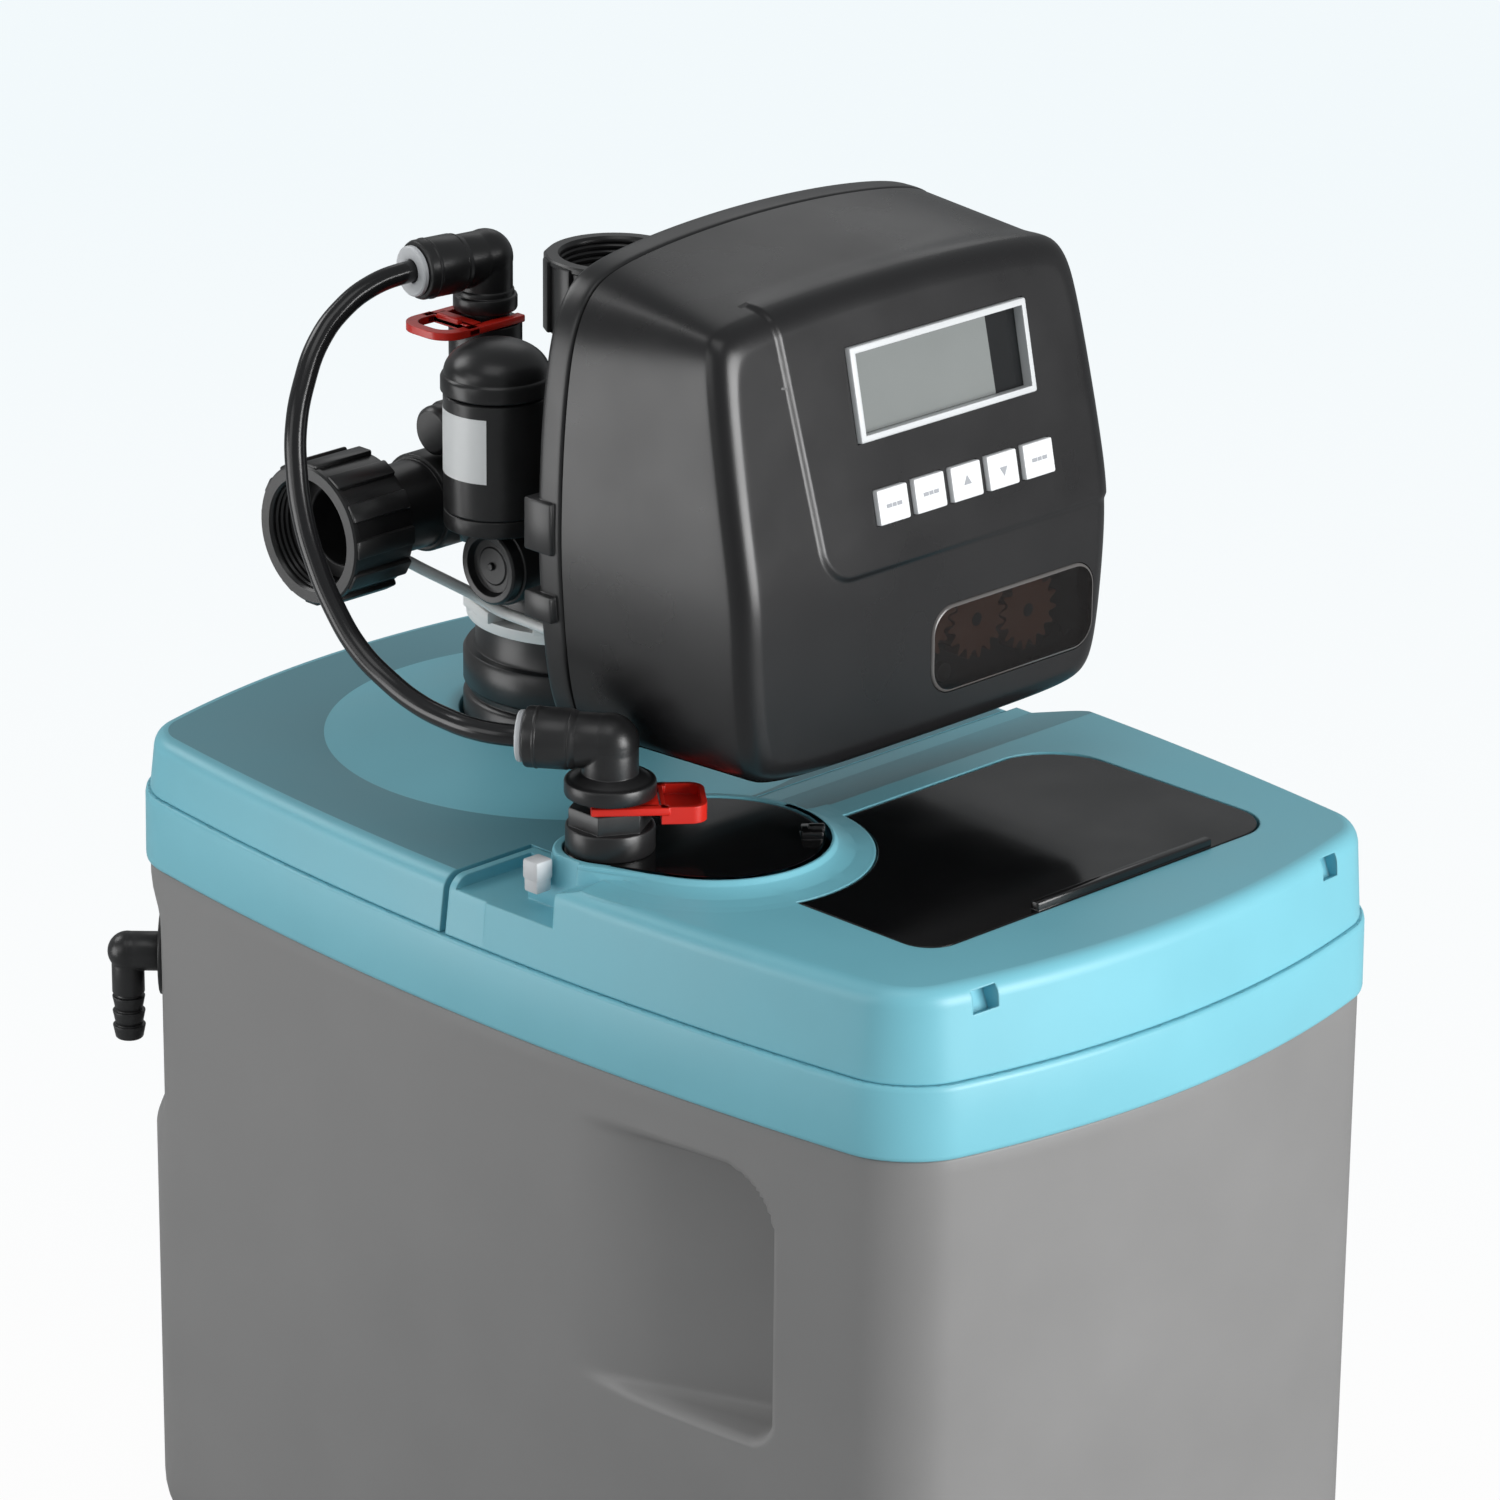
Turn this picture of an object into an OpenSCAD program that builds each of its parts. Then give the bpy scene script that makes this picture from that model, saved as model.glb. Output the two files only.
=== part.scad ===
// Cabinet water softener with a tank-top control valve.
// Millimetres. The origin is the middle of the base, -Y is the front (display side), +Z is up.

/* [Cabinet] */
// Widest distance across the two bowed long sides
cab_w = 330; // [310:1:370]
// Longest distance from front to back
cab_d = 526; // [500:1:560]
// Height of the grey cabinet up to the collar
cab_h = 340; // [320:1:380]
// How far the long sides bow out in their middle
side_bow = 17; // [8:1:24]
// How far the front and back bow out in their middle
end_bow = 18; // [8:1:26]
// Radius of the upright corners
corner_r = 38; // [30:1:50]
// Radius round the bottom edge
base_r = 36; // [20:1:45]
// Cabinet wall
wall = 4; // [3:0.5:6]
// Depth of the hand-hold at its deep end
grip_depth = 25; // [15:1:30]

/* [Top covers] */
// Height of the collar band
collar_h = 33; // [25:1:45]
// Rear cover height above the collar
rear_h = 26; // [20:1:34]
// Front cover height above the collar
front_h = 40; // [36:1:50]
// Height of the round boss above the front cover
boss_h = 6; // [3:0.5:10]
// Skin of the moulded covers
skin = 3.5; // [2.5:0.5:5]
// Radius of the cone round the tank neck
cone_r = 112; // [90:1:114]
// Height of the cone round the tank neck
cone_h = 12; // [6:1:16]
// Thickness of the salt hatch
hatch_t = 5; // [4.5:0.5:6]

/* [Brine well] */
// Radius of the round end of the brine well
well_r = 47; // [42:1:50]
// Radius of the small end, under the brine fitting
lobe_r = 20; // [18:1:22]
// Travel of the float along its rod
float_travel = 60; // [30:1:90]

/* [Tank] */
// Radius of the mineral tank
tank_r = 128; // [115:1:129]
// Radius of the threaded tank neck
neck_r = 32; // [30:1:34]
// Radius of the riser tube
riser_r = 13.4; // [12:0.1:15]

/* [Valve] */
// Radius of the main valve barrel
barrel_r = 36; // [32:1:38]
// Radius of the inlet and outlet pipes
pipe_r = 21; // [18:0.5:22]
// Outer radius of the union nuts
nut_r = 32; // [29:0.5:34]
// Length of the union nuts
nut_l = 36; // [32:1:40]
// Radius of the injector housing
injector_r = 23; // [20:0.5:24]
// Stroke of the valve piston
piston_travel = 30; // [15:1:30]

/* [Push-in elbows] */
// Radius of the barrel of the push-in elbows
elbow_r = 13; // [12:0.5:14]
// Distance from the leg axis to the collet face
elbow_l = 39; // [34:1:44]
// Radius of the brine tube
tube_r = 4.75; // [4:0.25:5]

/* [Control cover] */
// Half the width of the control cover at its back
cover_hw = 120; // [116:1:126]
// Height of the control cover at its back
cover_h = 214; // [210:1:222]
// Thickness of the cover wall
cover_t = 3; // [2:0.5:3.5]
// Button travel
button_travel = 0.8; // [0.5:0.1:1.2]

/* [Drive gears] */
// Gear module
gear_module = 2; // [1.8:0.05:2.05]
// Gear thickness
gear_t = 8; // [6:0.5:9]

/* [Fits] */
// Gap between pieces that seat in each other
gap = 0.3; // [0.2:0.05:0.5]
// Gap round a turning shaft
running = 0.06; // [0.03:0.01:0.1]

/* [Hidden] */
$fn = 64;
cover_z = cab_h + collar_h;
rear_top = cover_z + rear_h;
front_top = cover_z + front_h;
boss_top = front_top + boss_h;
collar_out = 2;
collar_in = 10;
cover_in = 1;
split_y = -10;
tab_y = 15;
tab_x = -112;
ramp_back = -20;
ramp_front = -64;
neck = [0, 105];
well = [-84, -67];
lobe = [-124, -46];
boss_rim = 13;
cap_t = 5;
well_wall = 3;
well_foot = 13;
valve_foot_r = 14;
float_z = [wall + 64, wall + 134];
hatch_min = [-101, -210];
hatch_max = [113, -77];
hatch_notch_r = well_r + 22;
hatch_corners = [15, 20, 20, 2];
hatch_step = [90, 9];
hinge_y = hatch_max[1] - 3;
pin_r = 1.5;
hinge_z = front_top - hatch_t / 2;
pocket_out = (cab_w + cab_d) / sqrt(8) - 43.1;
pocket_along = (cab_d - cab_w) / sqrt(8) + 5.3;
pocket_z = [cab_h - 120, cab_h - 21];
overflow_z = cab_h - 50;
overflow_out = 17.4;
neck_top = rear_top + 33;
collar_z = [rear_top + 9, rear_top + 42];
ring_z = [rear_top + 56, rear_top + 66];
body_z = ring_z[1];
barrel_z = rear_top + 107;
port_x = 46.6;
port_z = rear_top + 116.6;
elbow_y = 130;
reach = 89;
body_front = 3;
body_back = 107;
port_face = 108;
bore_r = 25;
piston_r = 17;
piston_head = [body_front + 20, body_back - 10 - piston_travel];
injector = [-83, 67];
injector_seam = rear_top + 185;
injector_base = rear_top + 133;
plug = [66, rear_top + 107];
plug_face = -90;
refill = [-46, 114];
refill_top = rear_top + 198;
drain = [121, rear_top + 151];
drain_face = -72;
neck_fit_r = 10.5;
clip_t = 4;
elbow_flange = 7;
elbow_rise = 23;
refill_turn = 172;
brine_turn = 126;
fitting_z = [boss_top, boss_top + 11, boss_top + 19, boss_top + 24];
plate_back = 3;
plate_front = -12;
cover_z0 = rear_top + 51;
cover_front_hw = cover_hw - 9;
face_y = -112.3;
lean_z = rear_top + 139;
lean_top = rear_top + 253;
lean = 12.2;
display_x = 16.5;
display_z = rear_top + 210.3;
display_size = [106, 40.5];
display_frame = 4.5;
button_z = rear_top + 163;
button_size = [18, 15];
button_pitch = 22;
window_x = [-1, 99];
window_z = [rear_top + 73, rear_top + 112];
window_corners = [12, 12, 12, 12];
bracket_y = [-84, -81];
gear_y = -96;
main_teeth = 30;
idler_teeth = 16;
pinion_teeth = 12;
centre_play = 0.2;
gear_main = [0, barrel_z];
gear_b = gear_main + gear_step(main_teeth, idler_teeth, -17.6);
gear_a = gear_b + gear_step(idler_teeth, idler_teeth, -6.3);
gear_p = gear_a + gear_step(idler_teeth, pinion_teeth, 108.6);
screw_spots = [[34, barrel_z - 38], [-34, barrel_z - 38], [40, barrel_z + 32], [-40, barrel_z + 32]];
tube_path = [
  for (p = [
    [-70.7, 117.5, 226], [-86.6, 119.7, 226], [-103.4, 123, 222.8], [-118.6, 125, 215.2], [-132.8, 124, 204.2],
    [-144, 121, 189.2], [-152.4, 117, 172.5],
    [-157, 112, 155], [-160, 105, 137], [-161, 96, 119], [-161, 84, 101], [-160, 70, 86], [-158, 54, 76],
    [-157, 37, 70], [-156, 20, 67.5], [-154.8, 4, 67], [-149.8, -10.4, 67], [-138.7, -25.8, 67]
  ]) p + [0, 0, rear_top]
];

// Plan outline: a bowed rectangle with round corners
function unit(v) = v / norm(v);
function core_x(y) = cab_w / 2 - corner_r - side_bow * pow(y / (cab_d / 2 - corner_r), 2);
function core_y(x) = cab_d / 2 - corner_r - end_bow * pow(x / (cab_w / 2 - corner_r), 2);
function corner_at(n, y) = n == 0 ? [core_x(y), y] : corner_at(n - 1, core_y(core_x(y)));
function side_normal(y) = unit([1, 2 * side_bow * y / pow(cab_d / 2 - corner_r, 2)]);
function end_normal(x) = unit([2 * end_bow * x / pow(cab_w / 2 - corner_r, 2), 1]);
core_corner = corner_at(10, cab_d / 2 - corner_r - end_bow);
corner_a0 = atan2(side_normal(core_corner[1])[1], side_normal(core_corner[1])[0]);
corner_a1 = atan2(end_normal(core_corner[0])[1], end_normal(core_corner[0])[0]);
function quarter(grow) = concat(
  [for (i = [0 : 6]) let (y = core_corner[1] * i / 6) [core_x(y), y] + (corner_r + grow) * side_normal(y)],
  [for (k = [1 : 5]) let (a = corner_a0 + (corner_a1 - corner_a0) * k / 6)
    core_corner + (corner_r + grow) * [cos(a), sin(a)]],
  [for (i = [4 : -1 : 0]) let (x = core_corner[0] * i / 4) [x, core_y(x)] + (corner_r + grow) * end_normal(x)]
);
function outline(grow) = let (q = quarter(grow), n = len(q)) concat(
  q,
  [for (i = [n - 2 : -1 : 0]) [-q[i][0], q[i][1]]],
  [for (i = [1 : n - 1]) -q[i]],
  [for (i = [n - 2 : -1 : 1]) [q[i][0], -q[i][1]]]
);
function at_height(points, z) = [for (p = points) [p[0], p[1], z]];
function rounded_base(grow, z0, r) = [
  for (a = [0 : 22.5 : 90]) at_height(outline(grow - r * (1 - sin(a))), z0 + r * (1 - cos(a)))
];

// Convex outline round a big circle and a small one
function egg(big, small) = let (
  d = lobe - well,
  turn = atan2(d[1], d[0]),
  open = acos((big - small) / norm(d))
) concat(
  [for (i = [0 : 24]) let (a = turn + open + (360 - 2 * open) * i / 24) well + big * [cos(a), sin(a)]],
  [for (i = [0 : 10]) let (a = turn - open + 2 * open * i / 10) lobe + small * [cos(a), sin(a)]]
);
// Rectangle with round corners, radii from the low left corner anticlockwise
function rounded_box(low, high, radii) = [
  for (c = [0 : 3], k = [0 : 6])
    let (r = radii[c],
      a = 180 + 90 * c + 15 * k,
      x = c == 0 || c == 3 ? low[0] + r : high[0] - r,
      y = c < 2 ? low[1] + r : high[1] - r)
      [x, y] + r * [cos(a), sin(a)]
];

// Gear teeth as trapezoids with play on both flanks
function gear_step(teeth_1, teeth_2, angle) =
  (gear_module * (teeth_1 + teeth_2) / 2 + centre_play) * [cos(angle), sin(angle)];
function gear_points(teeth, phase) = let (
  pitch_r = gear_module * teeth / 2,
  half = gear_module * 0.6,
  tip = pitch_r + gear_module * 0.8,
  root = pitch_r - gear_module * 1.15
) [
  for (i = [0 : teeth - 1], c = [[root, -1.62], [tip, -0.5], [tip, 0.5], [root, 1.62]])
    let (a = phase + 360 * i / teeth + c[1] * half / c[0] * 180 / PI) c[0] * [cos(a), sin(a)]
];

// Control cover sections: fractions of the half width and of the height
cover_shape = [
  [0, 0], [0.55, 0.002], [0.8, 0.007], [0.88, 0.022], [0.925, 0.06], [0.965, 0.15], [0.99, 0.27], [1, 0.41],
  [1, 0.5], [0.98, 0.66], [0.93, 0.82], [0.87, 0.905], [0.77, 0.957], [0.5, 0.985], [0, 1]
];
function cover_outline(hw, low, high) = let (n = len(cover_shape)) concat(
  [for (p = cover_shape) [p[0] * hw, low + p[1] * (high - low)]],
  [for (i = [n - 2 : -1 : 1]) [-cover_shape[i][0] * hw, low + cover_shape[i][1] * (high - low)]]
);
function face_at(z) = z > lean_z ? face_y + (z - lean_z) * tan(lean) : face_y;
function cover_ring(inset, back) = [
  for (p = cover_outline(cover_front_hw - inset, cover_z0 + 3 + inset, lean_top - inset))
    [p[0], face_at(p[1]) + back, p[1]]
];
function back_ring(inset, y) = [
  for (p = cover_outline(cover_hw - inset, cover_z0 + inset, cover_z0 + cover_h - inset)) [p[0], y, p[1]]
];

module cover_slab(inset, y0, y1) {
  translate([0, y1, 0]) rotate([90, 0, 0]) linear_extrude(y1 - y0)
    polygon(cover_outline(cover_hw - inset, cover_z0 + inset, cover_z0 + cover_h - inset));
}

module prism(points, z0, z1) {
  translate([0, 0, z0]) linear_extrude(z1 - z0) polygon(points);
}

module ring_wall(out, in, z0, z1) {
  difference() {
    prism(outline(out), z0, z1);
    prism(outline(in), z0 - 1, z1 + 1);
  }
}

// Skin through rings of equal point count, closed at both ends
module loft(rings) {
  n = len(rings[0]);
  m = len(rings);
  polyhedron(
    points = [for (r = rings, p = r) p],
    faces = concat(
      [[for (i = [0 : n - 1]) i]],
      [for (j = [0 : m - 2], i = [0 : n - 1]) let (k = (i + 1) % n) [j * n + i, (j + 1) * n + i, (j + 1) * n + k]],
      [for (j = [0 : m - 2], i = [0 : n - 1]) let (k = (i + 1) % n) [j * n + i, (j + 1) * n + k, j * n + k]],
      [[for (i = [n - 1 : -1 : 0]) (m - 1) * n + i]]
    )
  );
}

// The same for the control cover, whose front ring is not flat
module cover_loft(rings) {
  n = len(rings[0]);
  m = len(rings);
  front = (m - 1) * n;
  polyhedron(
    points = [for (r = rings, p = r) p],
    faces = concat(
      [[for (i = [0 : n - 1]) i]],
      [for (j = [0 : m - 2], i = [0 : n - 1]) let (k = (i + 1) % n) [j * n + i, (j + 1) * n + i, (j + 1) * n + k]],
      [for (j = [0 : m - 2], i = [0 : n - 1]) let (k = (i + 1) % n) [j * n + i, (j + 1) * n + k, j * n + k]],
      [[front, front + n - 1, front + 1], [front + n / 2 - 1, front + n / 2 + 1, front + n / 2]],
      [for (i = [1 : n / 2 - 2]) [front + i, front + n - i, front + n - i - 1, front + i + 1]]
    )
  );
}

module along_y(x, z, y0, y1, r) {
  translate([x, y0, z]) rotate([-90, 0, 0]) cylinder(h = y1 - y0, r = r);
}

module along_x(y, z, x0, x1, r) {
  translate([x0, y, z]) rotate([0, 90, 0]) cylinder(h = x1 - x0, r = r);
}

module upright(spot, z0, z1, r) {
  translate([spot[0], spot[1], z0]) cylinder(h = z1 - z0, r = r);
}

module block(low, high) {
  translate(low) cube(high - low);
}

// Frame of the leaning panel: origin on its outer face, -Y outwards
module on_panel(x, z) {
  translate([x, face_at(z), z]) rotate([-lean, 0, 0]) children();
}

module cabinet() {
  color("#7d7d7d") difference() {
    loft(concat(rounded_base(0, 0, base_r), [at_height(outline(0), cab_h)]));
    difference() {
      loft(concat(rounded_base(-wall, wall, base_r - wall), [at_height(outline(-wall), cab_h + 1)]));
      for (s = [-1, 1]) hand_hold(s, wall);
      back_pocket(wall);
    }
    for (s = [-1, 1]) hand_hold(s, 0);
    back_pocket(0);
    at_pocket() along_y(0, overflow_z, -2 * wall, 1, 9 + gap);
  }
}

module hand_hold(side, grow) {
  deep = cab_w / 2 - 2 - grip_depth - grow;
  prism(
    side > 0
      ? [[cab_w, -60], [cab_w / 2 - 1 - grow, -60], [cab_w / 2 - 6 - grow, -84], [deep, -160 - grow],
        [deep, -175 - grow], [cab_w, -175 - grow]]
      : [[-cab_w, -60], [-cab_w, -175 - grow], [-deep, -175 - grow], [-deep, -160 - grow],
        [-cab_w / 2 + 6 + grow, -84], [-cab_w / 2 + 1 + grow, -60]],
    cab_h - 146 - grow,
    cab_h - 20 + grow
  );
}

// Frame of the flat cut across the left rear corner, +Y straight out of it
module at_pocket() {
  rotate(45) translate([pocket_along, pocket_out, 0]) children();
}

module back_pocket(grow) {
  at_pocket() block([-60, -grow, pocket_z[0] - grow], [60, 60, pocket_z[1] + grow]);
}

module top_collar() {
  color("#5cb3c4") union() {
    ring_wall(collar_out, -collar_in, cab_h, cover_z);
    ring_wall(-wall - gap, -collar_in, cab_h - 14, cab_h + 1);
  }
}

module cover_blank(z1, inset) {
  loft([
    at_height(outline(-cover_in - inset), cover_z - (inset > 0 ? 1 : 0)),
    at_height(outline(-cover_in - 2 - inset), z1 - inset - 9),
    at_height(outline(-cover_in - 4.5 - inset), z1 - inset - 2.5),
    at_height(outline(-cover_in - 8 - inset), z1 - inset)
  ]);
}

// Where the rear cover ends and the front cover begins
module front_zone(shift) {
  block([-cab_w, -cab_d, 0], [cab_w, split_y + shift, 2 * cab_h]);
  block([-cab_w, -cab_d, 0], [tab_x + shift, tab_y + shift, 2 * cab_h]);
}

module rear_cover() {
  color("#5cb3c4") difference() {
    union() {
      difference() {
        cover_blank(rear_top, 0);
        cover_blank(rear_top, skin);
        front_zone(gap);
      }
      upright(neck, rear_top - skin, rear_top, cone_r);
      translate([neck[0], neck[1], rear_top]) cylinder(h = cone_h, r1 = cone_r, r2 = 58);
    }
    translate([neck[0], neck[1], rear_top - skin - 1]) cylinder(h = cone_h + 1, r1 = cone_r - 6, r2 = 56);
    upright(neck, cover_z, rear_top + cone_h + 1, 51);
  }
}

module side_profile(drop) {
  rotate([90, 0, 90]) translate([0, 0, -cab_w]) linear_extrude(2 * cab_w) polygon([
    [-cab_d, cover_z - 2], [tab_y + 40, cover_z - 2], [tab_y + 40, rear_top - drop],
    [ramp_back, rear_top - drop], [ramp_front, front_top - drop], [-cab_d, front_top - drop]
  ]);
}

module front_cover() {
  color("#5cb3c4") difference() {
    union() {
      difference() {
        intersection() {
          cover_blank(front_top, 0);
          side_profile(0);
          front_zone(-gap);
        }
        difference() {
          intersection() {
            cover_blank(front_top, skin);
            side_profile(skin);
          }
          block([-cab_w, -51 - skin, cover_z - 2], [-118 + skin, 9 + skin, front_top]);
        }
      }
      intersection() {
        prism(egg(well_r + boss_rim, lobe_r + 4), rear_top - skin, rear_top + 1);
        front_zone(-gap);
      }
      prism(egg(well_r + boss_rim, lobe_r + 4), rear_top + gap, boss_top);
      hatch_frame();
    }
    prism(egg(well_r + gap, lobe_r + gap), cover_z - 5, boss_top + 1);
    block([-cab_w, -51, rear_top - 5], [-146, 9, front_top]);
    block([-147, -19, rear_top - 5], [-118, 9, front_top]);
    hatch_plate(gap, front_top - hatch_t - gap, front_top + 1);
    hatch_plate(-6, cover_z - 5, front_top + 1);
    block([-16, hinge_y - 8, cover_z - 5], [hatch_step[0] + gap, hatch_max[1] + gap, front_top - skin]);
    along_x(hinge_y, hinge_z, -24, hatch_step[0] + 8, pin_r + 0.02);
    for (x = [-117, 97]) block([x, -cab_d, cover_z + 25], [x + 17, -240, front_top - 1]);
  }
}

module hatch_outline(grow) {
  difference() {
    polygon(rounded_box(hatch_min - grow * [1, 1], hatch_max + grow * [1, 1], hatch_corners));
    translate(well) circle(r = hatch_notch_r - grow);
    translate([hatch_step[0] + grow, hatch_max[1] - hatch_step[1] + grow]) square(60);
  }
}

module hatch_plate(grow, z0, z1) {
  translate([0, 0, z0]) linear_extrude(z1 - z0) hatch_outline(grow);
}

// Rim that the hatch lies on, with two lugs for the hinge pin
module hatch_frame() {
  difference() {
    hatch_plate(4, front_top - hatch_t - 4, front_top - skin + 1);
    hatch_plate(-6, cover_z, front_top + 1);
  }
  for (x = [-26, hatch_step[0] + gap]) block([x, hinge_y - 4, hinge_z - 5], [x + 10, hinge_y + 6, front_top - 1]);
}

module salt_hatch() {
  color("#1d1d1f") difference() {
    union() {
      hatch_plate(-gap, front_top - hatch_t, front_top);
      block([-36, hatch_min[1] + 1, front_top - 1], [71, hatch_min[1] + 8, front_top + 3]);
    }
    along_x(hinge_y, hinge_z, -40, cab_w, pin_r + running);
    block([-40, hatch_max[1] - 1.4, cover_z], [cab_w, 0, front_top + 1]);
  }
}

module hatch_pin() {
  color("#b9bcc0") along_x(hinge_y, hinge_z, -24, hatch_step[0] + 8, pin_r);
}

module latch_block() {
  color("#c9ccce") block([-157, -36, rear_top - 5], [-148.2, -28, front_top + 3]);
}

module brine_well() {
  flange_z = wall + well_foot;
  color("#d9dcdd") difference() {
    union() {
      difference() {
        prism(egg(well_r, lobe_r), flange_z, boss_top - cap_t);
        prism(egg(well_r - well_wall, lobe_r - well_wall), flange_z - 1, boss_top);
      }
      upright(well, flange_z, flange_z + 3, well_r - 1);
      upright(well, wall, flange_z + 1, well_r - 5);
    }
    upright(well, wall - 1, flange_z + 4, well_r - 8);
    upright(lobe, wall - 1, flange_z + 4, valve_foot_r + gap);
    for (i = [0 : 4]) translate([well[0], well[1], flange_z + 8]) rotate(i * 40 - 140)
      translate([0, -3, 0]) cube([2 * well_r, 6, 40]);
  }
}

module brine_well_cap() {
  color("#1b1b1c") difference() {
    union() {
      prism(egg(well_r - gap, lobe_r - gap), boss_top - cap_t, boss_top - 0.6);
      prism(egg(well_r - well_wall - gap, lobe_r - well_wall - gap), boss_top - cap_t - 5, boss_top - cap_t + 1);
      translate([well[0], well[1], boss_top - 2]) rotate(-41) translate([well_r - 10, -5, 0]) cube([9, 10, 4]);
    }
    upright(lobe, cover_z, boss_top + 1, 9);
  }
}

module brine_valve() {
  color("#e3e5e6") difference() {
    union() {
      upright(lobe, wall + 6, fitting_z[0] + 8, 9 - gap);
      upright(lobe, wall + 4, wall + 34, valve_foot_r);
      upright(well, wall + 50, cab_h + 50, 4);
      for (z = [wall + 46, cab_h + 44]) translate([lobe[0], lobe[1], z])
        rotate(atan2(well[1] - lobe[1], well[0] - lobe[0])) translate([0, -5, 0])
          cube([norm(well - lobe) + 5, 10, 6]);
      for (z = [float_z[0] - 4, float_z[1] + float_travel + 2 * gap]) upright(well, z, z + 4, 12);
    }
    upright(lobe, wall + 20, fitting_z[0] + 9, 6);
  }
}

module brine_float() {
  color("#e9e4d2") difference() {
    upright(well, float_z[0] + gap, float_z[1], 24);
    upright(well, wall, cab_h, 4 + gap);
  }
}

// Socket top, hex and neck that a push-in elbow stands on
module brine_fitting() {
  color("#222223") difference() {
    union() {
      upright(lobe, fitting_z[0] - 0.6, fitting_z[1], 19);
      translate([lobe[0], lobe[1], fitting_z[1]]) rotate(15) cylinder(h = fitting_z[2] - fitting_z[1], r = 17.5, $fn = 6);
      upright(lobe, fitting_z[2] - 1, fitting_z[3], neck_fit_r);
    }
    upright(lobe, fitting_z[0] - 2, fitting_z[0] + 8, 9);
    upright(lobe, fitting_z[0], fitting_z[3] + 1, 6);
  }
}

// Push-in elbow standing on z0, its barrel turned to the given angle
module push_elbow(spot, z0, turn, flange_r) {
  axis_z = z0 + elbow_rise;
  color("#1f1f20") translate([spot[0], spot[1], 0]) rotate(turn) difference() {
    union() {
      translate([0, 0, z0]) cylinder(h = elbow_flange, r = flange_r);
      translate([0, 0, z0]) cylinder(h = elbow_rise, r = 12);
      translate([0, 0, axis_z]) sphere(r = 12);
      along_x(0, axis_z, 0, 16, 11.5);
      along_x(0, axis_z, 14, elbow_l - 3, elbow_r);
    }
    translate([0, 0, z0 - 1]) cylinder(h = elbow_rise + 1, r = 6);
    along_x(0, axis_z, 0, elbow_l, 6);
    along_x(0, axis_z, 22, elbow_l + 1, 8);
  }
}

module push_collet(spot, z0, turn) {
  color("#c7cacb") translate([spot[0], spot[1], 0]) rotate(turn) difference() {
    union() {
      along_x(0, z0 + elbow_rise, 23, elbow_l - 2, 8 - gap);
      along_x(0, z0 + elbow_rise, elbow_l - 3, elbow_l, elbow_r - 2);
    }
    along_x(0, z0 + elbow_rise, 20, elbow_l + 1, tube_r + 0.1);
  }
}

// Fork round the neck with a turned-up handle, pulled along +X of its own frame
module push_clip(spot, z0, turn, handle) {
  inner = neck_fit_r + gap;
  color("#d33325") translate([spot[0], spot[1], z0]) rotate(turn) difference() {
    union() {
      block([-9, -inner - 5, 0], [38, inner + 5, clip_t - 2 * gap]);
      block([35, -inner - 5, 0], [38, inner + 5, handle]);
    }
    translate([0, 0, -1]) cylinder(h = clip_t + 2, r = inner);
    block([-10, -inner, -1], [0, inner, clip_t + 1]);
    block([18, -inner, -1], [34, inner, clip_t + 1]);
  }
}

module brine_elbow() {
  push_elbow(lobe, fitting_z[3], brine_turn, 19.5);
}

module brine_collet() {
  push_collet(lobe, fitting_z[3], brine_turn);
}

module brine_clip() {
  push_clip(lobe, fitting_z[2] + gap, -40, 9);
}

module refill_elbow() {
  push_elbow(refill, refill_top + 5, refill_turn, 14);
}

module refill_collet() {
  push_collet(refill, refill_top + 5, refill_turn);
}

module refill_clip() {
  push_clip(refill, refill_top + gap, 180, 6);
}

// Round tube swept along the path
module swept(path, r, sides) {
  last = len(path) - 1;
  loft([
    for (i = [0 : last])
      let (d = unit(path[min(i + 1, last)] - path[max(i - 1, 0)]),
        u = unit(cross(d, [d[1], d[2], -d[0]])),
        v = cross(d, u))
        [for (k = [0 : sides - 1]) path[i] + r * (cos(360 * k / sides) * u + sin(360 * k / sides) * v)]
  ]);
}

module brine_tube() {
  color("#17181a") swept(tube_path, tube_r, 12);
}

module overflow_elbow() {
  color("#1f1f20") at_pocket() difference() {
    union() {
      along_y(0, overflow_z, -14, 1, 9);
      along_y(0, overflow_z, 0, 2.5, 19.5);
      along_y(0, overflow_z, 2, overflow_out, 9);
      translate([0, overflow_out, overflow_z]) sphere(r = 9);
      upright([0, overflow_out], overflow_z - 20, overflow_z, 7.2);
      upright([0, overflow_out], overflow_z - 42, overflow_z - 19, 6);
      for (k = [0 : 2]) translate([0, overflow_out, overflow_z - 41.5 + 7 * k])
        cylinder(h = 6, r1 = 6.3, r2 = 7.4);
    }
    along_y(0, overflow_z, -15, overflow_out, 5);
    upright([0, overflow_out], overflow_z - 43, overflow_z, 4);
  }
}

module overflow_nut() {
  color("#1f1f20") at_pocket() difference() {
    translate([0, -wall - 8, overflow_z]) rotate([-90, 0, 0]) cylinder(h = 8, r = 15, $fn = 6);
    along_y(0, overflow_z, -wall - 9, 0, 9 + running);
  }
}

// Half profile of the tank: domes at both ends, neck on top
function tank_profile(in) = let (low = wall + 92, high = neck_top - 104) concat(
  [for (i = [0 : 8]) [(tank_r - in) * sin(90 * i / 8), low - (80 - in) * cos(90 * i / 8)]],
  [for (i = [0 : 7]) let (r = (tank_r - in) * cos(90 * i / 8), t = (76 - in) * sin(90 * i / 8))
    [max(r, neck_r - in), high + t]],
  [[neck_r - 2 * in, high + 76 - in], [neck_r - 2 * in, neck_top + (in > 0 ? 1 : 0)],
    [0, neck_top + (in > 0 ? 1 : 0)]]
);

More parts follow.
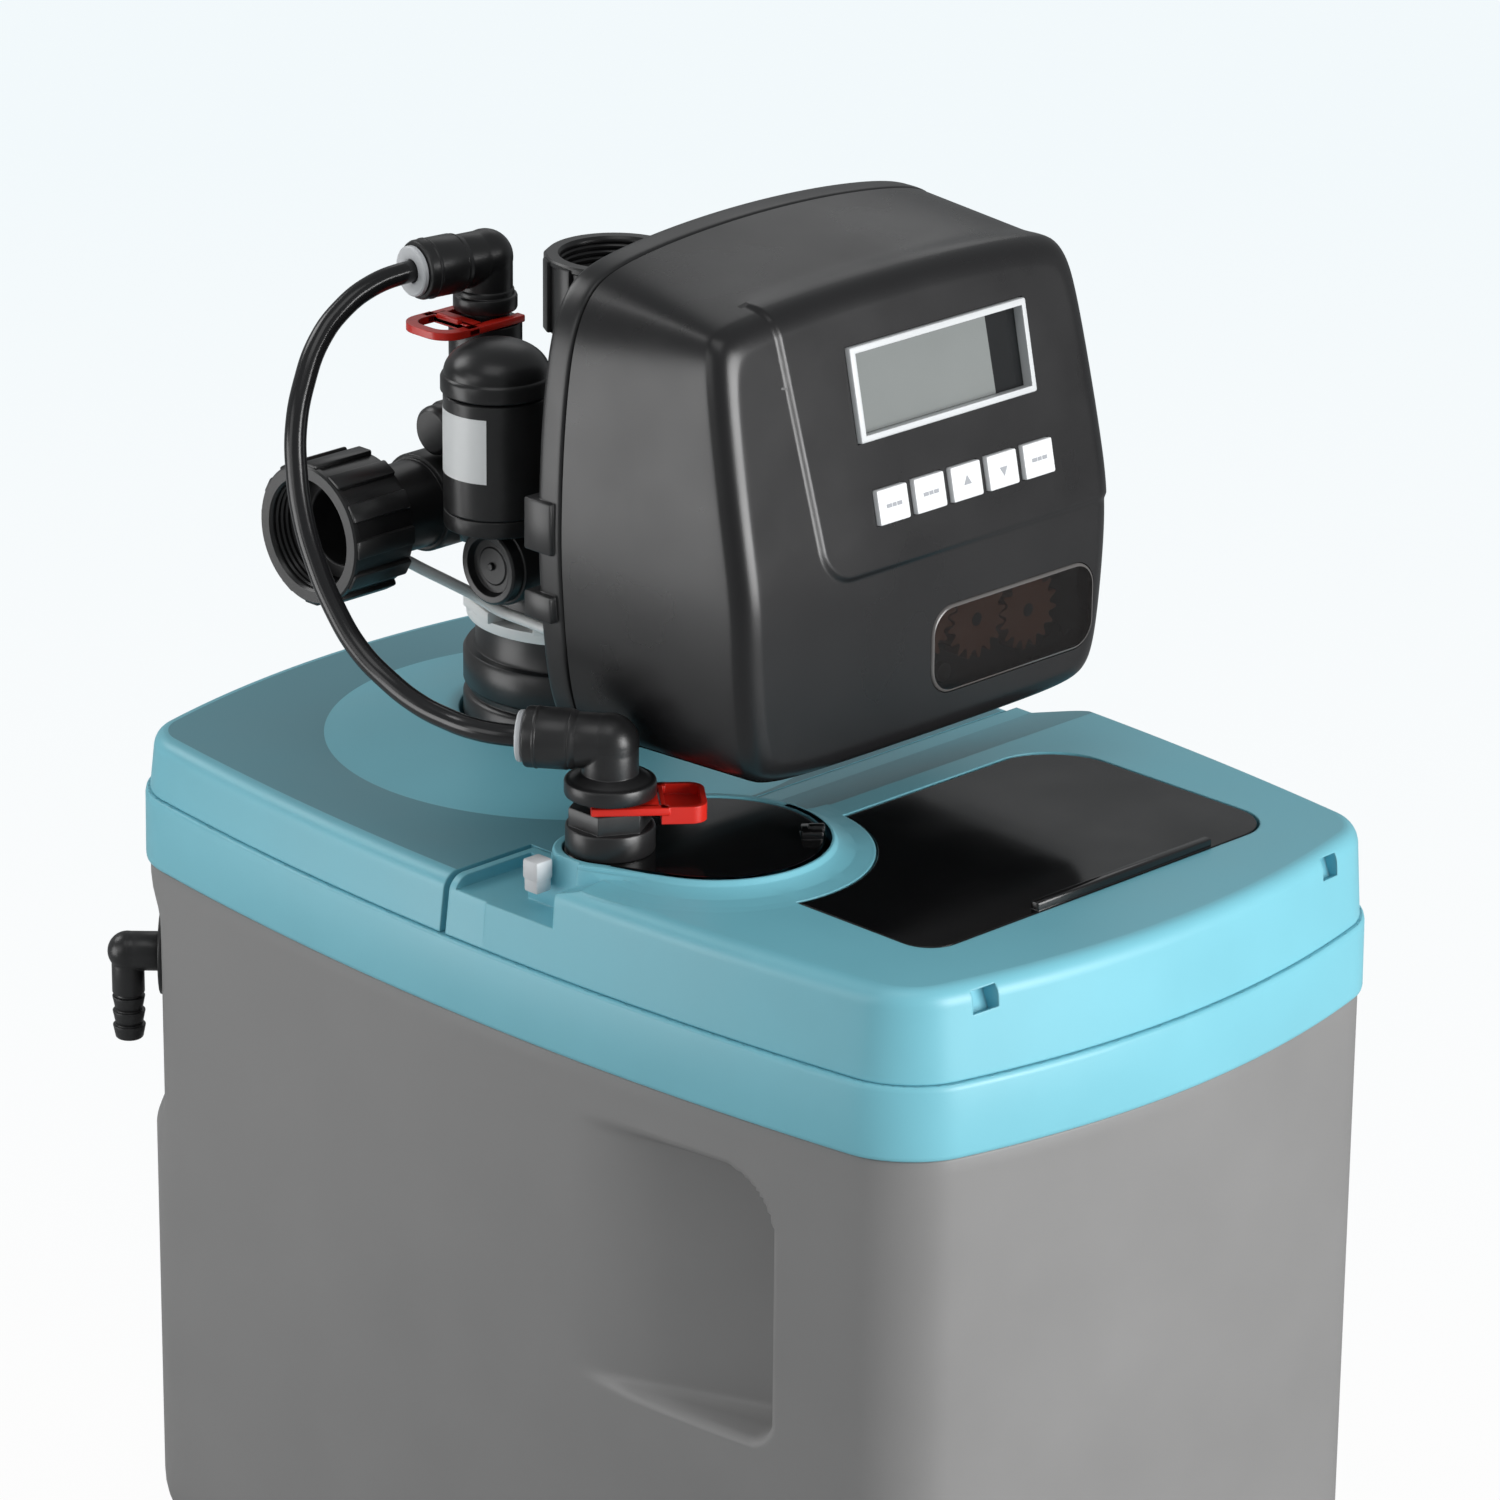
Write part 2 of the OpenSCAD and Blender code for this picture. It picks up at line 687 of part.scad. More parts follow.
module mineral_tank() {
  color("#4b6f8f") translate([neck[0], neck[1], 0]) {
    difference() {
      union() {
        rotate_extrude($fn = 96) polygon(tank_profile(0));
        difference() {
          translate([0, 0, wall]) cylinder(h = 70, r = tank_r - 16);
          translate([0, 0, wall - 1]) cylinder(h = 60, r = tank_r - 22);
        }
      }
      rotate_extrude($fn = 96) polygon(tank_profile(3));
    }
  }
}

module riser_tube() {
  color("#e4e6e7") difference() {
    upright(neck, wall + 40, body_z + 10, riser_r);
    upright(neck, wall + 39, body_z + 11, riser_r - 2.2);
  }
}

module lower_basket() {
  color("#cfd3d5") difference() {
    upright(neck, wall + 17, wall + 58, 24);
    upright(neck, wall + 40, wall + 60, riser_r + 0.05);
    upright(neck, wall + 19, wall + 41, riser_r - 3);
    for (i = [0 : 5], k = [0 : 2]) translate([neck[0], neck[1], wall + 22 + 6 * k]) rotate(60 * i)
      translate([4, -1, 0]) cube([30, 2, 3]);
  }
}

module tank_collar() {
  color("#202021") difference() {
    union() {
      upright(neck, collar_z[0], collar_z[0] + 12, 50.5);
      upright(neck, collar_z[0] + 11, collar_z[0] + 16, 48.5);
      upright(neck, collar_z[0] + 15, collar_z[1], 50.5);
      upright(neck, collar_z[1] - 1, ring_z[0], 45);
    }
    upright(neck, collar_z[0] - 1, ring_z[0] + 1, neck_r + 0.05);
  }
}

module lock_ring() {
  color("#d4d7d8") difference() {
    upright(neck, ring_z[0], ring_z[1], 49);
    upright(neck, ring_z[0] - 1, ring_z[1] + 1, 40);
    for (i = [0 : 5]) translate([neck[0], neck[1], ring_z[0] + 5]) rotate(60 * i + 10) translate([44, -7, 0])
      cube([10, 14, 10]);
  }
}

module valve_body() {
  color("#232324") difference() {
    union() {
      upright(neck, neck_top, ring_z[0] + 1, neck_r);
      upright(neck, ring_z[0], body_z + 1, 40 - gap);
      upright(neck, body_z, port_z - pipe_r - 3, 44);
      along_y(0, barrel_z, body_front, body_back, barrel_r);
      for (s = [-1, 1]) along_y(s * port_x, port_z, 91, port_face, pipe_r + 2);
      block([-port_x, 91, port_z - 16], [port_x, port_face - 4, port_z + 16]);
      upright(injector, plug[1] + 18.5, injector_base, injector_r);
      block([plug_face + 7, injector[1] - 12, plug[1] - 14], [0, injector[1] + 16, plug[1] + 24]);
      along_x(plug[0], plug[1], plug_face + 6, -20, 18);
      upright(refill, barrel_z + 34, refill_top, 16);
      block([refill[0] - 10, refill[1] - 34, barrel_z + 34], [0, refill[1] + 4, barrel_z + 46]);
      upright(refill, refill_top - 1, refill_top + 5, neck_fit_r);
      along_x(drain[0], drain[1], drain_face + 8, refill[0], 12);
      block([-30, body_front, barrel_z + 10], [30, body_back - 10, barrel_z + 44]);
    }
    along_y(0, barrel_z, body_front - 1, body_back - 4, bore_r);
    upright(neck, neck_top - 1, barrel_z, riser_r + gap);
    for (s = [-1, 1]) along_y(s * port_x, port_z, 80, port_face + 1, pipe_r - 4);
    upright(refill, barrel_z + 44, refill_top + 6, 6);
    along_x(plug[0], plug[1], plug_face + 5, -40, 9 + gap);
    along_x(drain[0], drain[1], drain_face, drain_face + 20, 7 + gap);
    upright(injector, injector_base - 8, injector_base + 1, injector_r - 6);
  }
}

module seal_stack() {
  color("#3a3f45") difference() {
    along_y(0, barrel_z, body_front + 6, body_back - 4, bore_r - 0.05);
    along_y(0, barrel_z, body_front, body_back, piston_r + gap);
    for (k = [0 : 4]) translate([0, body_front + 18 + 18 * k, barrel_z]) rotate([-90, 0, 0]) difference() {
      cylinder(h = 8, r = bore_r + 1);
      cylinder(h = 8, r = bore_r - 4);
    }
  }
}

module piston() {
  color("#8d9296") union() {
    along_y(0, barrel_z, gear_y + 2, piston_head[0] + 1, 5);
    along_y(0, barrel_z, piston_head[0], piston_head[1], piston_r);
  }
}

module injector_housing() {
  color("#262627") union() {
    upright(injector, injector_base, injector_seam, injector_r);
    upright(injector, injector_base - 7, injector_base + 1, injector_r - 6 - gap);
    upright(injector, injector_seam - 1, injector_seam + 4, injector_r - 3);
  }
}

module injector_cap() {
  color("#262627") difference() {
    union() {
      upright(injector, injector_seam + 0.2, injector_seam + 8, injector_r + 1);
      translate([injector[0], injector[1], injector_seam + 8]) intersection() {
        scale([1, 1, 0.62]) sphere(r = injector_r);
        cylinder(h = 2 * injector_r, r = 2 * injector_r);
      }
    }
    upright(injector, injector_seam - 1, injector_seam + 8, injector_r - 3 + 0.1);
  }
}

module injector_plug() {
  color("#19191a") difference() {
    union() {
      along_x(plug[0], plug[1], plug_face, plug_face + 6, 16.5);
      along_x(plug[0], plug[1], plug_face + 5, plug_face + 24, 9);
    }
    along_x(plug[0], plug[1], plug_face - 1, plug_face + 2, 12);
  }
}

module drain_plug() {
  color("#1c1c1d") union() {
    along_x(drain[0], drain[1], drain_face, drain_face + 8, 11);
    along_x(drain[0], drain[1], drain_face + 7, drain_face + 20, 7);
  }
}

// Elbow from a port on the valve back, its long leg along +X of its own frame
module union_elbow() {
  difference() {
    union() {
      rotate([90, 0, 0]) cylinder(h = elbow_y - port_face, r = pipe_r);
      sphere(r = pipe_r + 1);
      along_x(0, 0, 0, reach - 17, pipe_r - 1.5);
      along_x(0, 0, 0, 26, pipe_r + 1);
      along_x(0, 0, reach - 24, reach - 17, pipe_r + 2.5);
    }
    along_y(0, 0, -elbow_y, 0, pipe_r - 4);
    along_x(0, 0, 0, reach, pipe_r - 4);
  }
}

// Captive nut on the long leg: lip behind the collar of the elbow, thread in front
module union_nut() {
  difference() {
    union() {
      along_x(0, 0, reach - nut_l, reach, nut_r - 1.5);
      for (i = [0 : 11]) rotate([30 * i, 0, 0])
        block([reach - nut_l + 3, -4, nut_r - 4], [reach - 3, 4, nut_r]);
    }
    along_x(0, 0, reach - nut_l - 1, reach + 1, pipe_r - 1.5 + gap);
    along_x(0, 0, reach - 24 - gap, reach - 16, pipe_r + 3.5);
    along_x(0, 0, reach - 17, reach + 1, pipe_r + 3);
  }
}

module at_outlet() {
  translate([-port_x, elbow_y, port_z]) mirror([1, 0, 0]) children();
}

module at_inlet() {
  translate([port_x, elbow_y, port_z]) rotate([0, -90, 0]) children();
}

module outlet_elbow() {
  color("#242425") at_outlet() {
    union_elbow();
    for (a = [0, 90]) rotate([a, 0, 0]) block([46, -pipe_r + 3, -1.5], [49, pipe_r - 3, 1.5]);
    along_x(0, 0, 28, 49, 2);
  }
}

module inlet_elbow() {
  color("#242425") at_inlet() union_elbow();
}

module outlet_nut() {
  color("#1d1d1e") at_outlet() union_nut();
}

module inlet_nut() {
  color("#1d1d1e") at_inlet() union_nut();
}

module meter_turbine() {
  color("#e8e9ea") at_outlet() difference() {
    union() {
      along_x(0, 0, 30, 46 - gap, 5);
      for (i = [0 : 5]) rotate([60 * i, 0, 0]) block([32, -1, 3], [44, 1, pipe_r - 6]);
    }
    along_x(0, 0, 29, 47, 2 + running);
  }
}

module meter_lead() {
  color("#c2c5c7") swept(
    [for (p = [
      [-90, 118.8, 97.6], [-82, 116, 92], [-70, 111, 84], [-60, 106, 77], [-54, 97, 71], [-51, 85, 69],
      [-50, 60, 68], [-49, 30, 68], [-49, plate_back, 68]
    ]) p + [0, 0, rear_top]],
    2.2, 10
  );
}

module back_plate() {
  color("#1f1f20") difference() {
    union() {
      cover_slab(-1, plate_front + gap, plate_back);
      for (z = [rear_top + 110, rear_top + 150]) block([-cover_hw - 5, -8, z], [-cover_hw + 12, 2, z + 16]);
    }
    cover_slab(3, plate_front - 1, 0);
    along_y(0, barrel_z, -1, plate_back + 1, 12);
  }
}

module drive_bracket() {
  color("#2c2d2f") difference() {
    union() {
      block([-84, bracket_y[0], barrel_z - 48], [84, bracket_y[1], barrel_z + 37]);
      for (s = screw_spots) along_y(s[0], s[1], bracket_y[1] - 1, 0, 5);
      along_y(0, barrel_z, gear_y, bracket_y[1], 10);
      for (g = [gear_a, gear_b]) along_y(g[0], g[1], gear_y, bracket_y[1], 3);
    }
    along_y(0, barrel_z, gear_y - 1, 0, 5 + gap);
    along_y(gear_p[0], gear_p[1], -100, -70, 4);
    for (s = screw_spots) along_y(s[0], s[1], bracket_y[0] - 1, bracket_y[1] + 14, 2);
  }
}

module bracket_screws() {
  color("#b4b8bb") for (s = screw_spots) union() {
    along_y(s[0], s[1], bracket_y[0] - 3, bracket_y[0], 4.2);
    along_y(s[0], s[1], bracket_y[0] - 1, bracket_y[1] + 12, 1.95);
  }
}

module drive_motor() {
  color("#a8abad") difference() {
    union() {
      along_y(gear_p[0], gear_p[1], bracket_y[1], bracket_y[1] + 34, 17);
      along_y(gear_p[0], gear_p[1], bracket_y[1] + 33, bracket_y[1] + 38, 6);
    }
    along_y(gear_p[0], gear_p[1], bracket_y[1] - 1, bracket_y[1] + 20, 2 + running);
  }
}

// Gear in the gear plane, teeth turned so that each pair meshes at rest
module gear(spot, teeth, phase, bore) {
  translate([spot[0], gear_y + gear_t, spot[1]]) rotate([90, 0, 0]) linear_extrude(gear_t) difference() {
    polygon(gear_points(teeth, phase));
    if (bore > 0) circle(r = bore);
  }
}

// Phase of a gear whose tooth gap faces the tooth of the gear before it
function facing(teeth_1, phase_1, teeth_2, angle) =
  angle + 180 + 180 / teeth_2 + (angle - phase_1) * teeth_1 / teeth_2;
phase_b = facing(main_teeth, 0, idler_teeth, -17.6);
phase_a = facing(idler_teeth, phase_b, idler_teeth, -6.3);
phase_p = facing(idler_teeth, phase_a, pinion_teeth, 108.6);

module main_gear() {
  color("#7a4a35") gear(gear_main, main_teeth, 0, 10 + running);
}

module reduction_gear_b() {
  color("#8a5a40") gear(gear_b, idler_teeth, phase_b, 3 + running);
}

module reduction_gear_a() {
  color("#8a5a40") gear(gear_a, idler_teeth, phase_a, 3 + running);
}

module motor_pinion() {
  color("#d8d4c6") union() {
    gear(gear_p, pinion_teeth, phase_p, 0);
    along_y(gear_p[0], gear_p[1], gear_y + 1, bracket_y[1] + 18, 2);
  }
}

module control_cover() {
  color("#202022") difference() {
    union() {
      difference() {
        cover_loft([back_ring(0, plate_front), cover_ring(-1, 12), cover_ring(2.5, 3.5), cover_ring(7, 0)]);
        cover_loft([
          back_ring(cover_t, plate_front + 1), cover_ring(cover_t - 1, 12 + cover_t),
          cover_ring(cover_t + 2.5, 3.5 + cover_t), cover_ring(cover_t + 7, cover_t)
        ]);
      }
      for (x = [-66, 66], z = [-56, 24]) on_panel(display_x, display_z) translate([x, cover_t - 1, z])
        rotate([-90, 0, 0]) cylinder(h = 13 - cover_t + 1, r = 3);
    }
    on_panel(display_x, display_z) block(
      [-display_size[0] / 2 - gap, -20, -display_size[1] / 2 - gap],
      [display_size[0] / 2 + gap, 10, display_size[1] / 2 + gap]
    );
    for (i = [0 : 4]) on_panel(button_x(i), button_z) block(
      [-button_size[0] / 2 - gap, -20, -button_size[1] / 2 - gap],
      [button_size[0] / 2 + gap, 10, button_size[1] / 2 + gap]
    );
    translate([0, face_y + 10, 0]) rotate([90, 0, 0]) linear_extrude(30)
      polygon(rounded_box([window_x[0] - gap, window_z[0] - gap], [window_x[1] + gap, window_z[1] + gap], window_corners));
  }
}

function button_x(i) = -23 + button_pitch * i;

module display_bezel() {
  w = display_size / 2;
  color("#cdd0d2") on_panel(display_x, display_z) difference() {
    block([-w[0], -1, -w[1]], [w[0], cover_t + 3, w[1]]);
    block([-w[0] + display_frame, -2, -w[1] + display_frame], [w[0] - display_frame, 20, w[1] - display_frame]);
  }
}

module display_panel() {
  w = display_size / 2 - [1, 1] * (display_frame + gap);
  color("#6f7476") on_panel(display_x, display_z) block([-w[0], 1.5, -w[1]], [w[0], 4, w[1]]);
}

module pc_board() {
  w = display_size / 2 - [1, 1] * (display_frame + 1);
  color("#2f6b45") {
    on_panel(display_x, display_z) {
      block([-72, 13, -62], [70, 14.6, 32]);
      block([-w[0], 4 + gap, -w[1]], [w[0], 13.5, w[1]]);
    }
    for (i = [0 : 4]) on_panel(button_x(i), button_z) translate([0, cover_t + 2.8 + button_travel + gap, 0])
      rotate([-90, 0, 0]) cylinder(h = 13.5 - cover_t - 2.8 - button_travel - gap, r = 3);
  }
}

module button(i) {
  w = button_size / 2;
  color("#eceded") on_panel(button_x(i), button_z) {
    block([-w[0], -1.2, -w[1]], [w[0], cover_t + 2, w[1]]);
    block([-w[0] - 1.2, cover_t + gap, -w[1] - 1.2], [w[0] + 1.2, cover_t + 2.5, w[1] + 1.2]);
  }
}

module button_1() {
  button(0);
}

module button_2() {
  button(1);
}

module button_3() {
  button(2);
}

module button_4() {
  button(3);
}

module button_5() {
  button(4);
}

module gear_window() {
  color("#3a2b25") translate([0, face_y + cover_t, 0]) rotate([90, 0, 0]) linear_extrude(cover_t + 0.4)
    polygon(rounded_box([window_x[0], window_z[0]], [window_x[1], window_z[1]], window_corners));
}

cabinet();
top_collar();
rear_cover();
front_cover();
latch_block();
salt_hatch();
hatch_pin();
brine_well();
brine_well_cap();
brine_valve();
brine_float();
brine_fitting();
brine_elbow();
brine_collet();
brine_clip();
brine_tube();
refill_elbow();
refill_collet();
refill_clip();
overflow_elbow();
overflow_nut();
mineral_tank();
riser_tube();
lower_basket();
tank_collar();
lock_ring();
valve_body();
seal_stack();
piston();
injector_housing();
injector_cap();
injector_plug();
drain_plug();
outlet_elbow();
outlet_nut();
inlet_elbow();
inlet_nut();
meter_turbine();
meter_lead();
back_plate();
drive_bracket();
bracket_screws();
drive_motor();
motor_pinion();
reduction_gear_a();
reduction_gear_b();
main_gear();
control_cover();
display_bezel();
display_panel();
pc_board();
button_1();
button_2();
button_3();
button_4();
button_5();
gear_window();
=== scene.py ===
# Cabinet water softener: a bowed grey salt cabinet under turquoise covers, with a black control valve
# on the neck of its tank. Metres. The front with the display looks along -Y, and +Z is up.
import math

import bmesh
import bpy
from mathutils import Matrix, Quaternion, Vector


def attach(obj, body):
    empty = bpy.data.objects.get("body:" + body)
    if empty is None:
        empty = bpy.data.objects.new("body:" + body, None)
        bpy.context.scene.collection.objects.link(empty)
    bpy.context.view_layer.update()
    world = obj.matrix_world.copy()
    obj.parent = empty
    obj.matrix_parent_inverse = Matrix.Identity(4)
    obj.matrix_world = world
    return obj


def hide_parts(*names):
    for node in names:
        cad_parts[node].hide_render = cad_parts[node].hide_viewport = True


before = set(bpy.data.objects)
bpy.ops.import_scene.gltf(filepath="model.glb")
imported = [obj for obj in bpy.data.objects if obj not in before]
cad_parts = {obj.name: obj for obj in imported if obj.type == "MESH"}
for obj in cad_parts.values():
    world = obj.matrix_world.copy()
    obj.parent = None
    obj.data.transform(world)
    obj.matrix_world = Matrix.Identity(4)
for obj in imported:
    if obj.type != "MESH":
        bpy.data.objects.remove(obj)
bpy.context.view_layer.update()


# Camera
# The view is taken from the front left corner with a long lens, a little above the covers.
aim = Vector((0, 0, 0.340))
azimuth = math.radians(-44.88)
elevation = math.radians(21.939)
roll = math.radians(0.537)
distance = 3.150
away = Vector((math.sin(azimuth) * math.cos(elevation), -math.cos(azimuth) * math.cos(elevation),
               math.sin(elevation)))
lens = bpy.data.cameras.new("camera")
lens.lens = 172.39
lens.shift_x = 0.00547
lens.shift_y = 0.11047
lens.clip_end = 60
camera = bpy.data.objects.new("camera", lens)
camera.location = aim + distance * away
camera.rotation_mode = "QUATERNION"
camera.rotation_quaternion = (-away).to_track_quat("-Z", "Y") @ Quaternion((0, 0, 1), roll)
bpy.context.collection.objects.link(camera)
bpy.context.scene.camera = camera
bpy.context.scene.view_settings.view_transform = "Standard"


# Brine tube
# Black polyethylene tube, 9.5 mm across, pushed into a collet at each end. It is stiff, so it stands in
# one wide arc from the refill elbow on the valve down to the elbow on the brine well.
tube_route = [
    (-0.0707, 0.1175, 0.6250), (-0.0866, 0.1197, 0.6250), (-0.1034, 0.1230, 0.6218),
    (-0.1186, 0.1250, 0.6142), (-0.1328, 0.1240, 0.6032), (-0.1440, 0.1210, 0.5882),
    (-0.1524, 0.1170, 0.5715), (-0.1570, 0.1120, 0.5540), (-0.1600, 0.1050, 0.5360),
    (-0.1610, 0.0960, 0.5180), (-0.1610, 0.0840, 0.5000), (-0.1600, 0.0700, 0.4850),
    (-0.1580, 0.0540, 0.4750), (-0.1570, 0.0370, 0.4690), (-0.1560, 0.0200, 0.4665),
    (-0.1548, 0.0040, 0.4660), (-0.1498, -0.0104, 0.4660), (-0.1387, -0.0258, 0.4660),
]
tube_radius = 0.00475
patch_tones = (0.93, 1.07)
gloss_spread = 0.05
grain_height = 0.0002


def add_node(tree, kind, values=None, **settings):
    """Adds a shader node with its settings, and values as the constants on its inputs."""
    made = tree.nodes.new(kind)
    for setting, value in settings.items():
        setattr(made, setting, value)
    for socket, value in (values or {}).items():
        made.inputs[socket].default_value = value
    return made


def wire(tree, *runs):
    """Links nodes, each run given as (node, output, node, input)."""
    for source, output, target, socket in runs:
        tree.links.new(source.outputs[output], target.inputs[socket])


def moulded_grain():
    """Fine grain of a moulded skin, and slow patches for its colour and gloss."""
    group = bpy.data.node_groups.new("moulded_grain", "ShaderNodeTree")
    group.interface.new_socket("Grain Scale", in_out="INPUT", socket_type="NodeSocketFloat")
    group.interface.new_socket("Grain", in_out="OUTPUT", socket_type="NodeSocketFloat")
    group.interface.new_socket("Patches", in_out="OUTPUT", socket_type="NodeSocketFloat")
    inputs = add_node(group, "NodeGroupInput")
    outputs = add_node(group, "NodeGroupOutput")
    place = add_node(group, "ShaderNodeTexCoord")
    fine = add_node(group, "ShaderNodeTexNoise", {"Detail": 3})
    broad = add_node(group, "ShaderNodeTexNoise", {"Scale": 16, "Detail": 5})
    wire(group,
         (place, "Object", fine, "Vector"),
         (place, "Object", broad, "Vector"),
         (inputs, "Grain Scale", fine, "Scale"),
         (fine, "Fac", outputs, "Grain"),
         (broad, "Fac", outputs, "Patches"))
    return group


def edge_wear():
    """Mask of the outer edges, broken up by noise, where hands and tools polish a moulding."""
    group = bpy.data.node_groups.new("edge_wear", "ShaderNodeTree")
    group.interface.new_socket("Wear", in_out="OUTPUT", socket_type="NodeSocketFloat")
    outputs = add_node(group, "NodeGroupOutput")
    shape = add_node(group, "ShaderNodeNewGeometry")
    edges = add_node(group, "ShaderNodeMapRange", {"From Min": 0.53, "From Max": 0.66})
    place = add_node(group, "ShaderNodeTexCoord")
    breaks = add_node(group, "ShaderNodeTexNoise", {"Scale": 90, "Detail": 4})
    product = add_node(group, "ShaderNodeMath", operation="MULTIPLY")
    wire(group,
         (shape, "Pointiness", edges, "Value"),
         (place, "Object", breaks, "Vector"),
         (edges, "Result", product, 0),
         (breaks, "Fac", product, 1),
         (product, "Value", outputs, "Wear"))
    return group


grain_tree = moulded_grain()
wear_tree = edge_wear()


def linear(colour):
    """Scene value of a colour given as it looks on a screen."""
    return [c / 12.92 if c <= 0.04045 else ((c + 0.055) / 1.055) ** 2.4 for c in colour]


def plastic(name, colour, roughness, grain=1600, relief=0.12, wear=0.35, metal=0.0, gleam=0.5, soft=0.0):
    """Moulded plastic: patchy colour and gloss, fine grain and paler edges; soft rounds its corners."""
    finish = bpy.data.materials.new(name)
    finish.use_nodes = True
    tree = finish.node_tree
    base = linear(colour)
    darker, lighter = ([tone * c for c in base] + [1] for tone in patch_tones)
    rubbed = [0.75 * c + 0.10 for c in base] + [1]
    shader = tree.nodes["Principled BSDF"]
    shader.inputs["Metallic"].default_value = metal
    shader.inputs["Specular IOR Level"].default_value = gleam
    skin = add_node(tree, "ShaderNodeGroup", {"Grain Scale": grain}, node_tree=grain_tree)
    edges = add_node(tree, "ShaderNodeGroup", node_tree=wear_tree)
    patches = add_node(tree, "ShaderNodeMix", {6: darker, 7: lighter}, data_type="RGBA")
    amount = add_node(tree, "ShaderNodeMath", {1: wear}, operation="MULTIPLY")
    worn = add_node(tree, "ShaderNodeMix", {7: rubbed}, data_type="RGBA")
    gloss = add_node(tree, "ShaderNodeMapRange", {
        "From Min": 0.3, "From Max": 0.7,
        "To Min": roughness - gloss_spread, "To Max": roughness + gloss_spread})
    bump = add_node(tree, "ShaderNodeBump", {"Strength": relief, "Distance": grain_height})
    wire(tree,
         (skin, "Patches", patches, 0),
         (patches, 2, worn, 6),
         (edges, "Wear", amount, 0),
         (amount, "Value", worn, 0),
         (worn, 2, shader, "Base Color"),
         (skin, "Patches", gloss, "Value"),
         (gloss, "Result", shader, "Roughness"),
         (skin, "Grain", bump, "Height"),
         (bump, "Normal", shader, "Normal"))
    if soft:
        corners = add_node(tree, "ShaderNodeBevel", {"Radius": soft}, samples=6)
        wire(tree, (corners, "Normal", bump, "Normal"))
    return finish


def round_line(name, route, radius, rounds, steps):
    """Round line through the points of a route; rounds and steps set how fine it is."""
    line = bpy.data.curves.new(name, "CURVE")
    line.dimensions = "3D"
    line.bevel_depth = radius
    line.bevel_resolution = rounds
    line.resolution_u = steps
    knots = line.splines.new("BEZIER").bezier_points
    knots.add(len(route) - 1)
    for knot, point in zip(knots, route):
        knot.co = point
        knot.handle_left_type = "AUTO"
        knot.handle_right_type = "AUTO"
    return line


tube_line = round_line("brine_tube", tube_route, tube_radius, 6, 10)
brine_tube = bpy.data.objects.new("brine_tube_cord", tube_line)
bpy.context.collection.objects.link(brine_tube)
tube_black = plastic("tube_black", (0.10, 0.10, 0.105), 0.20, grain=900, relief=0.04, wear=0.0)
tube_line.materials.append(tube_black)
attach(brine_tube, "base")
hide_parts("brine_tube")


# Studio
# Pale seamless floor that glows a little, a large soft lamp in front, a low lamp at the back left that shows
# as a soft sheen on the side walls, and four more at the left, above, and behind for the top faces.
def softbox(name, place, target, size, power):
    """Square soft lamp that faces its target."""
    lamp = bpy.data.lights.new(name, "AREA")
    lamp.shape = "SQUARE"
    lamp.size = size
    lamp.energy = power
    stand = bpy.data.objects.new(name, lamp)
    stand.location = place
    stand.rotation_mode = "QUATERNION"
    stand.rotation_quaternion = (Vector(target) - Vector(place)).to_track_quat("-Z", "Y")
    stand.visible_camera = False
    bpy.context.collection.objects.link(stand)


softbox("front_lamp", (0.55, -2.8, 0.92), (0, -0.1, 0.30), 1.6, 93)
softbox("low_left_lamp", (-1.3, 0.9, 0.32), (-0.1, 0, 0.45), 0.85, 8.5)
softbox("left_lamp", (-2.3, 0.4, 1.20), (0, 0, 0.40), 1.2, 6)
softbox("top_lamp", (-0.9, -0.5, 2.5), (0, 0, 0.40), 1.2, 6)
softbox("rear_lamp", (1.5, 1.4, 1.9), (0, 0, 0.55), 1.0, 2)
softbox("rear_left_lamp", (-0.6, 1.9, 1.9), (-0.05, 0.1, 0.42), 1.0, 12)

world = bpy.data.worlds.new("studio")
bpy.context.scene.world = world
world.use_nodes = True
sky = world.node_tree
fill = sky.nodes["Background"]
fill.inputs["Color"].default_value = (0.95, 0.98, 1.0, 1)
fill.inputs["Strength"].default_value = 0.30
seen = add_node(sky, "ShaderNodeBackground", {"Color": (0.95, 0.99, 1.0, 1)})
rays = add_node(sky, "ShaderNodeLightPath")
blend = add_node(sky, "ShaderNodeMixShader")
wire(sky,
     (rays, "Is Camera Ray", blend, "Fac"),
     (fill, "Background", blend, 1),
     (seen, "Background", blend, 2),
     (blend, "Shader", sky.nodes["World Output"], "Surface"))

floor_bm = bmesh.new()
bmesh.ops.create_grid(floor_bm, x_segments=1, y_segments=1, size=14)
floor_mesh = bpy.data.meshes.new("floor")
floor_bm.to_mesh(floor_mesh)
floor_bm.free()
floor = bpy.data.objects.new("floor", floor_mesh)
bpy.context.collection.objects.link(floor)
paper = bpy.data.materials.new("studio_paper")
paper.use_nodes = True
sheet = paper.node_tree
matt = sheet.nodes["Principled BSDF"]
matt.inputs["Base Color"].default_value = (0.30, 0.31, 0.315, 1)
matt.inputs["Roughness"].default_value = 0.9
glow = add_node(sheet, "ShaderNodeEmission")
floor_spot = add_node(sheet, "ShaderNodeTexCoord")
backwards = add_node(sheet, "ShaderNodeVectorMath", {1: (0.7071, 0.7071, 0)}, operation="DOT_PRODUCT")
fade_out = add_node(sheet, "ShaderNodeMapRange", {"From Min": 0.2, "From Max": 2.4})
far_tint = add_node(sheet, "ShaderNodeMix", {6: (1.02, 1.02, 1.02, 1), 7: (0.93, 0.99, 1.015, 1)},
                    data_type="RGBA")
paper_rays = add_node(sheet, "ShaderNodeLightPath")
paper_seen = add_node(sheet, "ShaderNodeMapRange", {"To Min": 0.12, "To Max": 0.95})
paper_mix = add_node(sheet, "ShaderNodeMixShader")
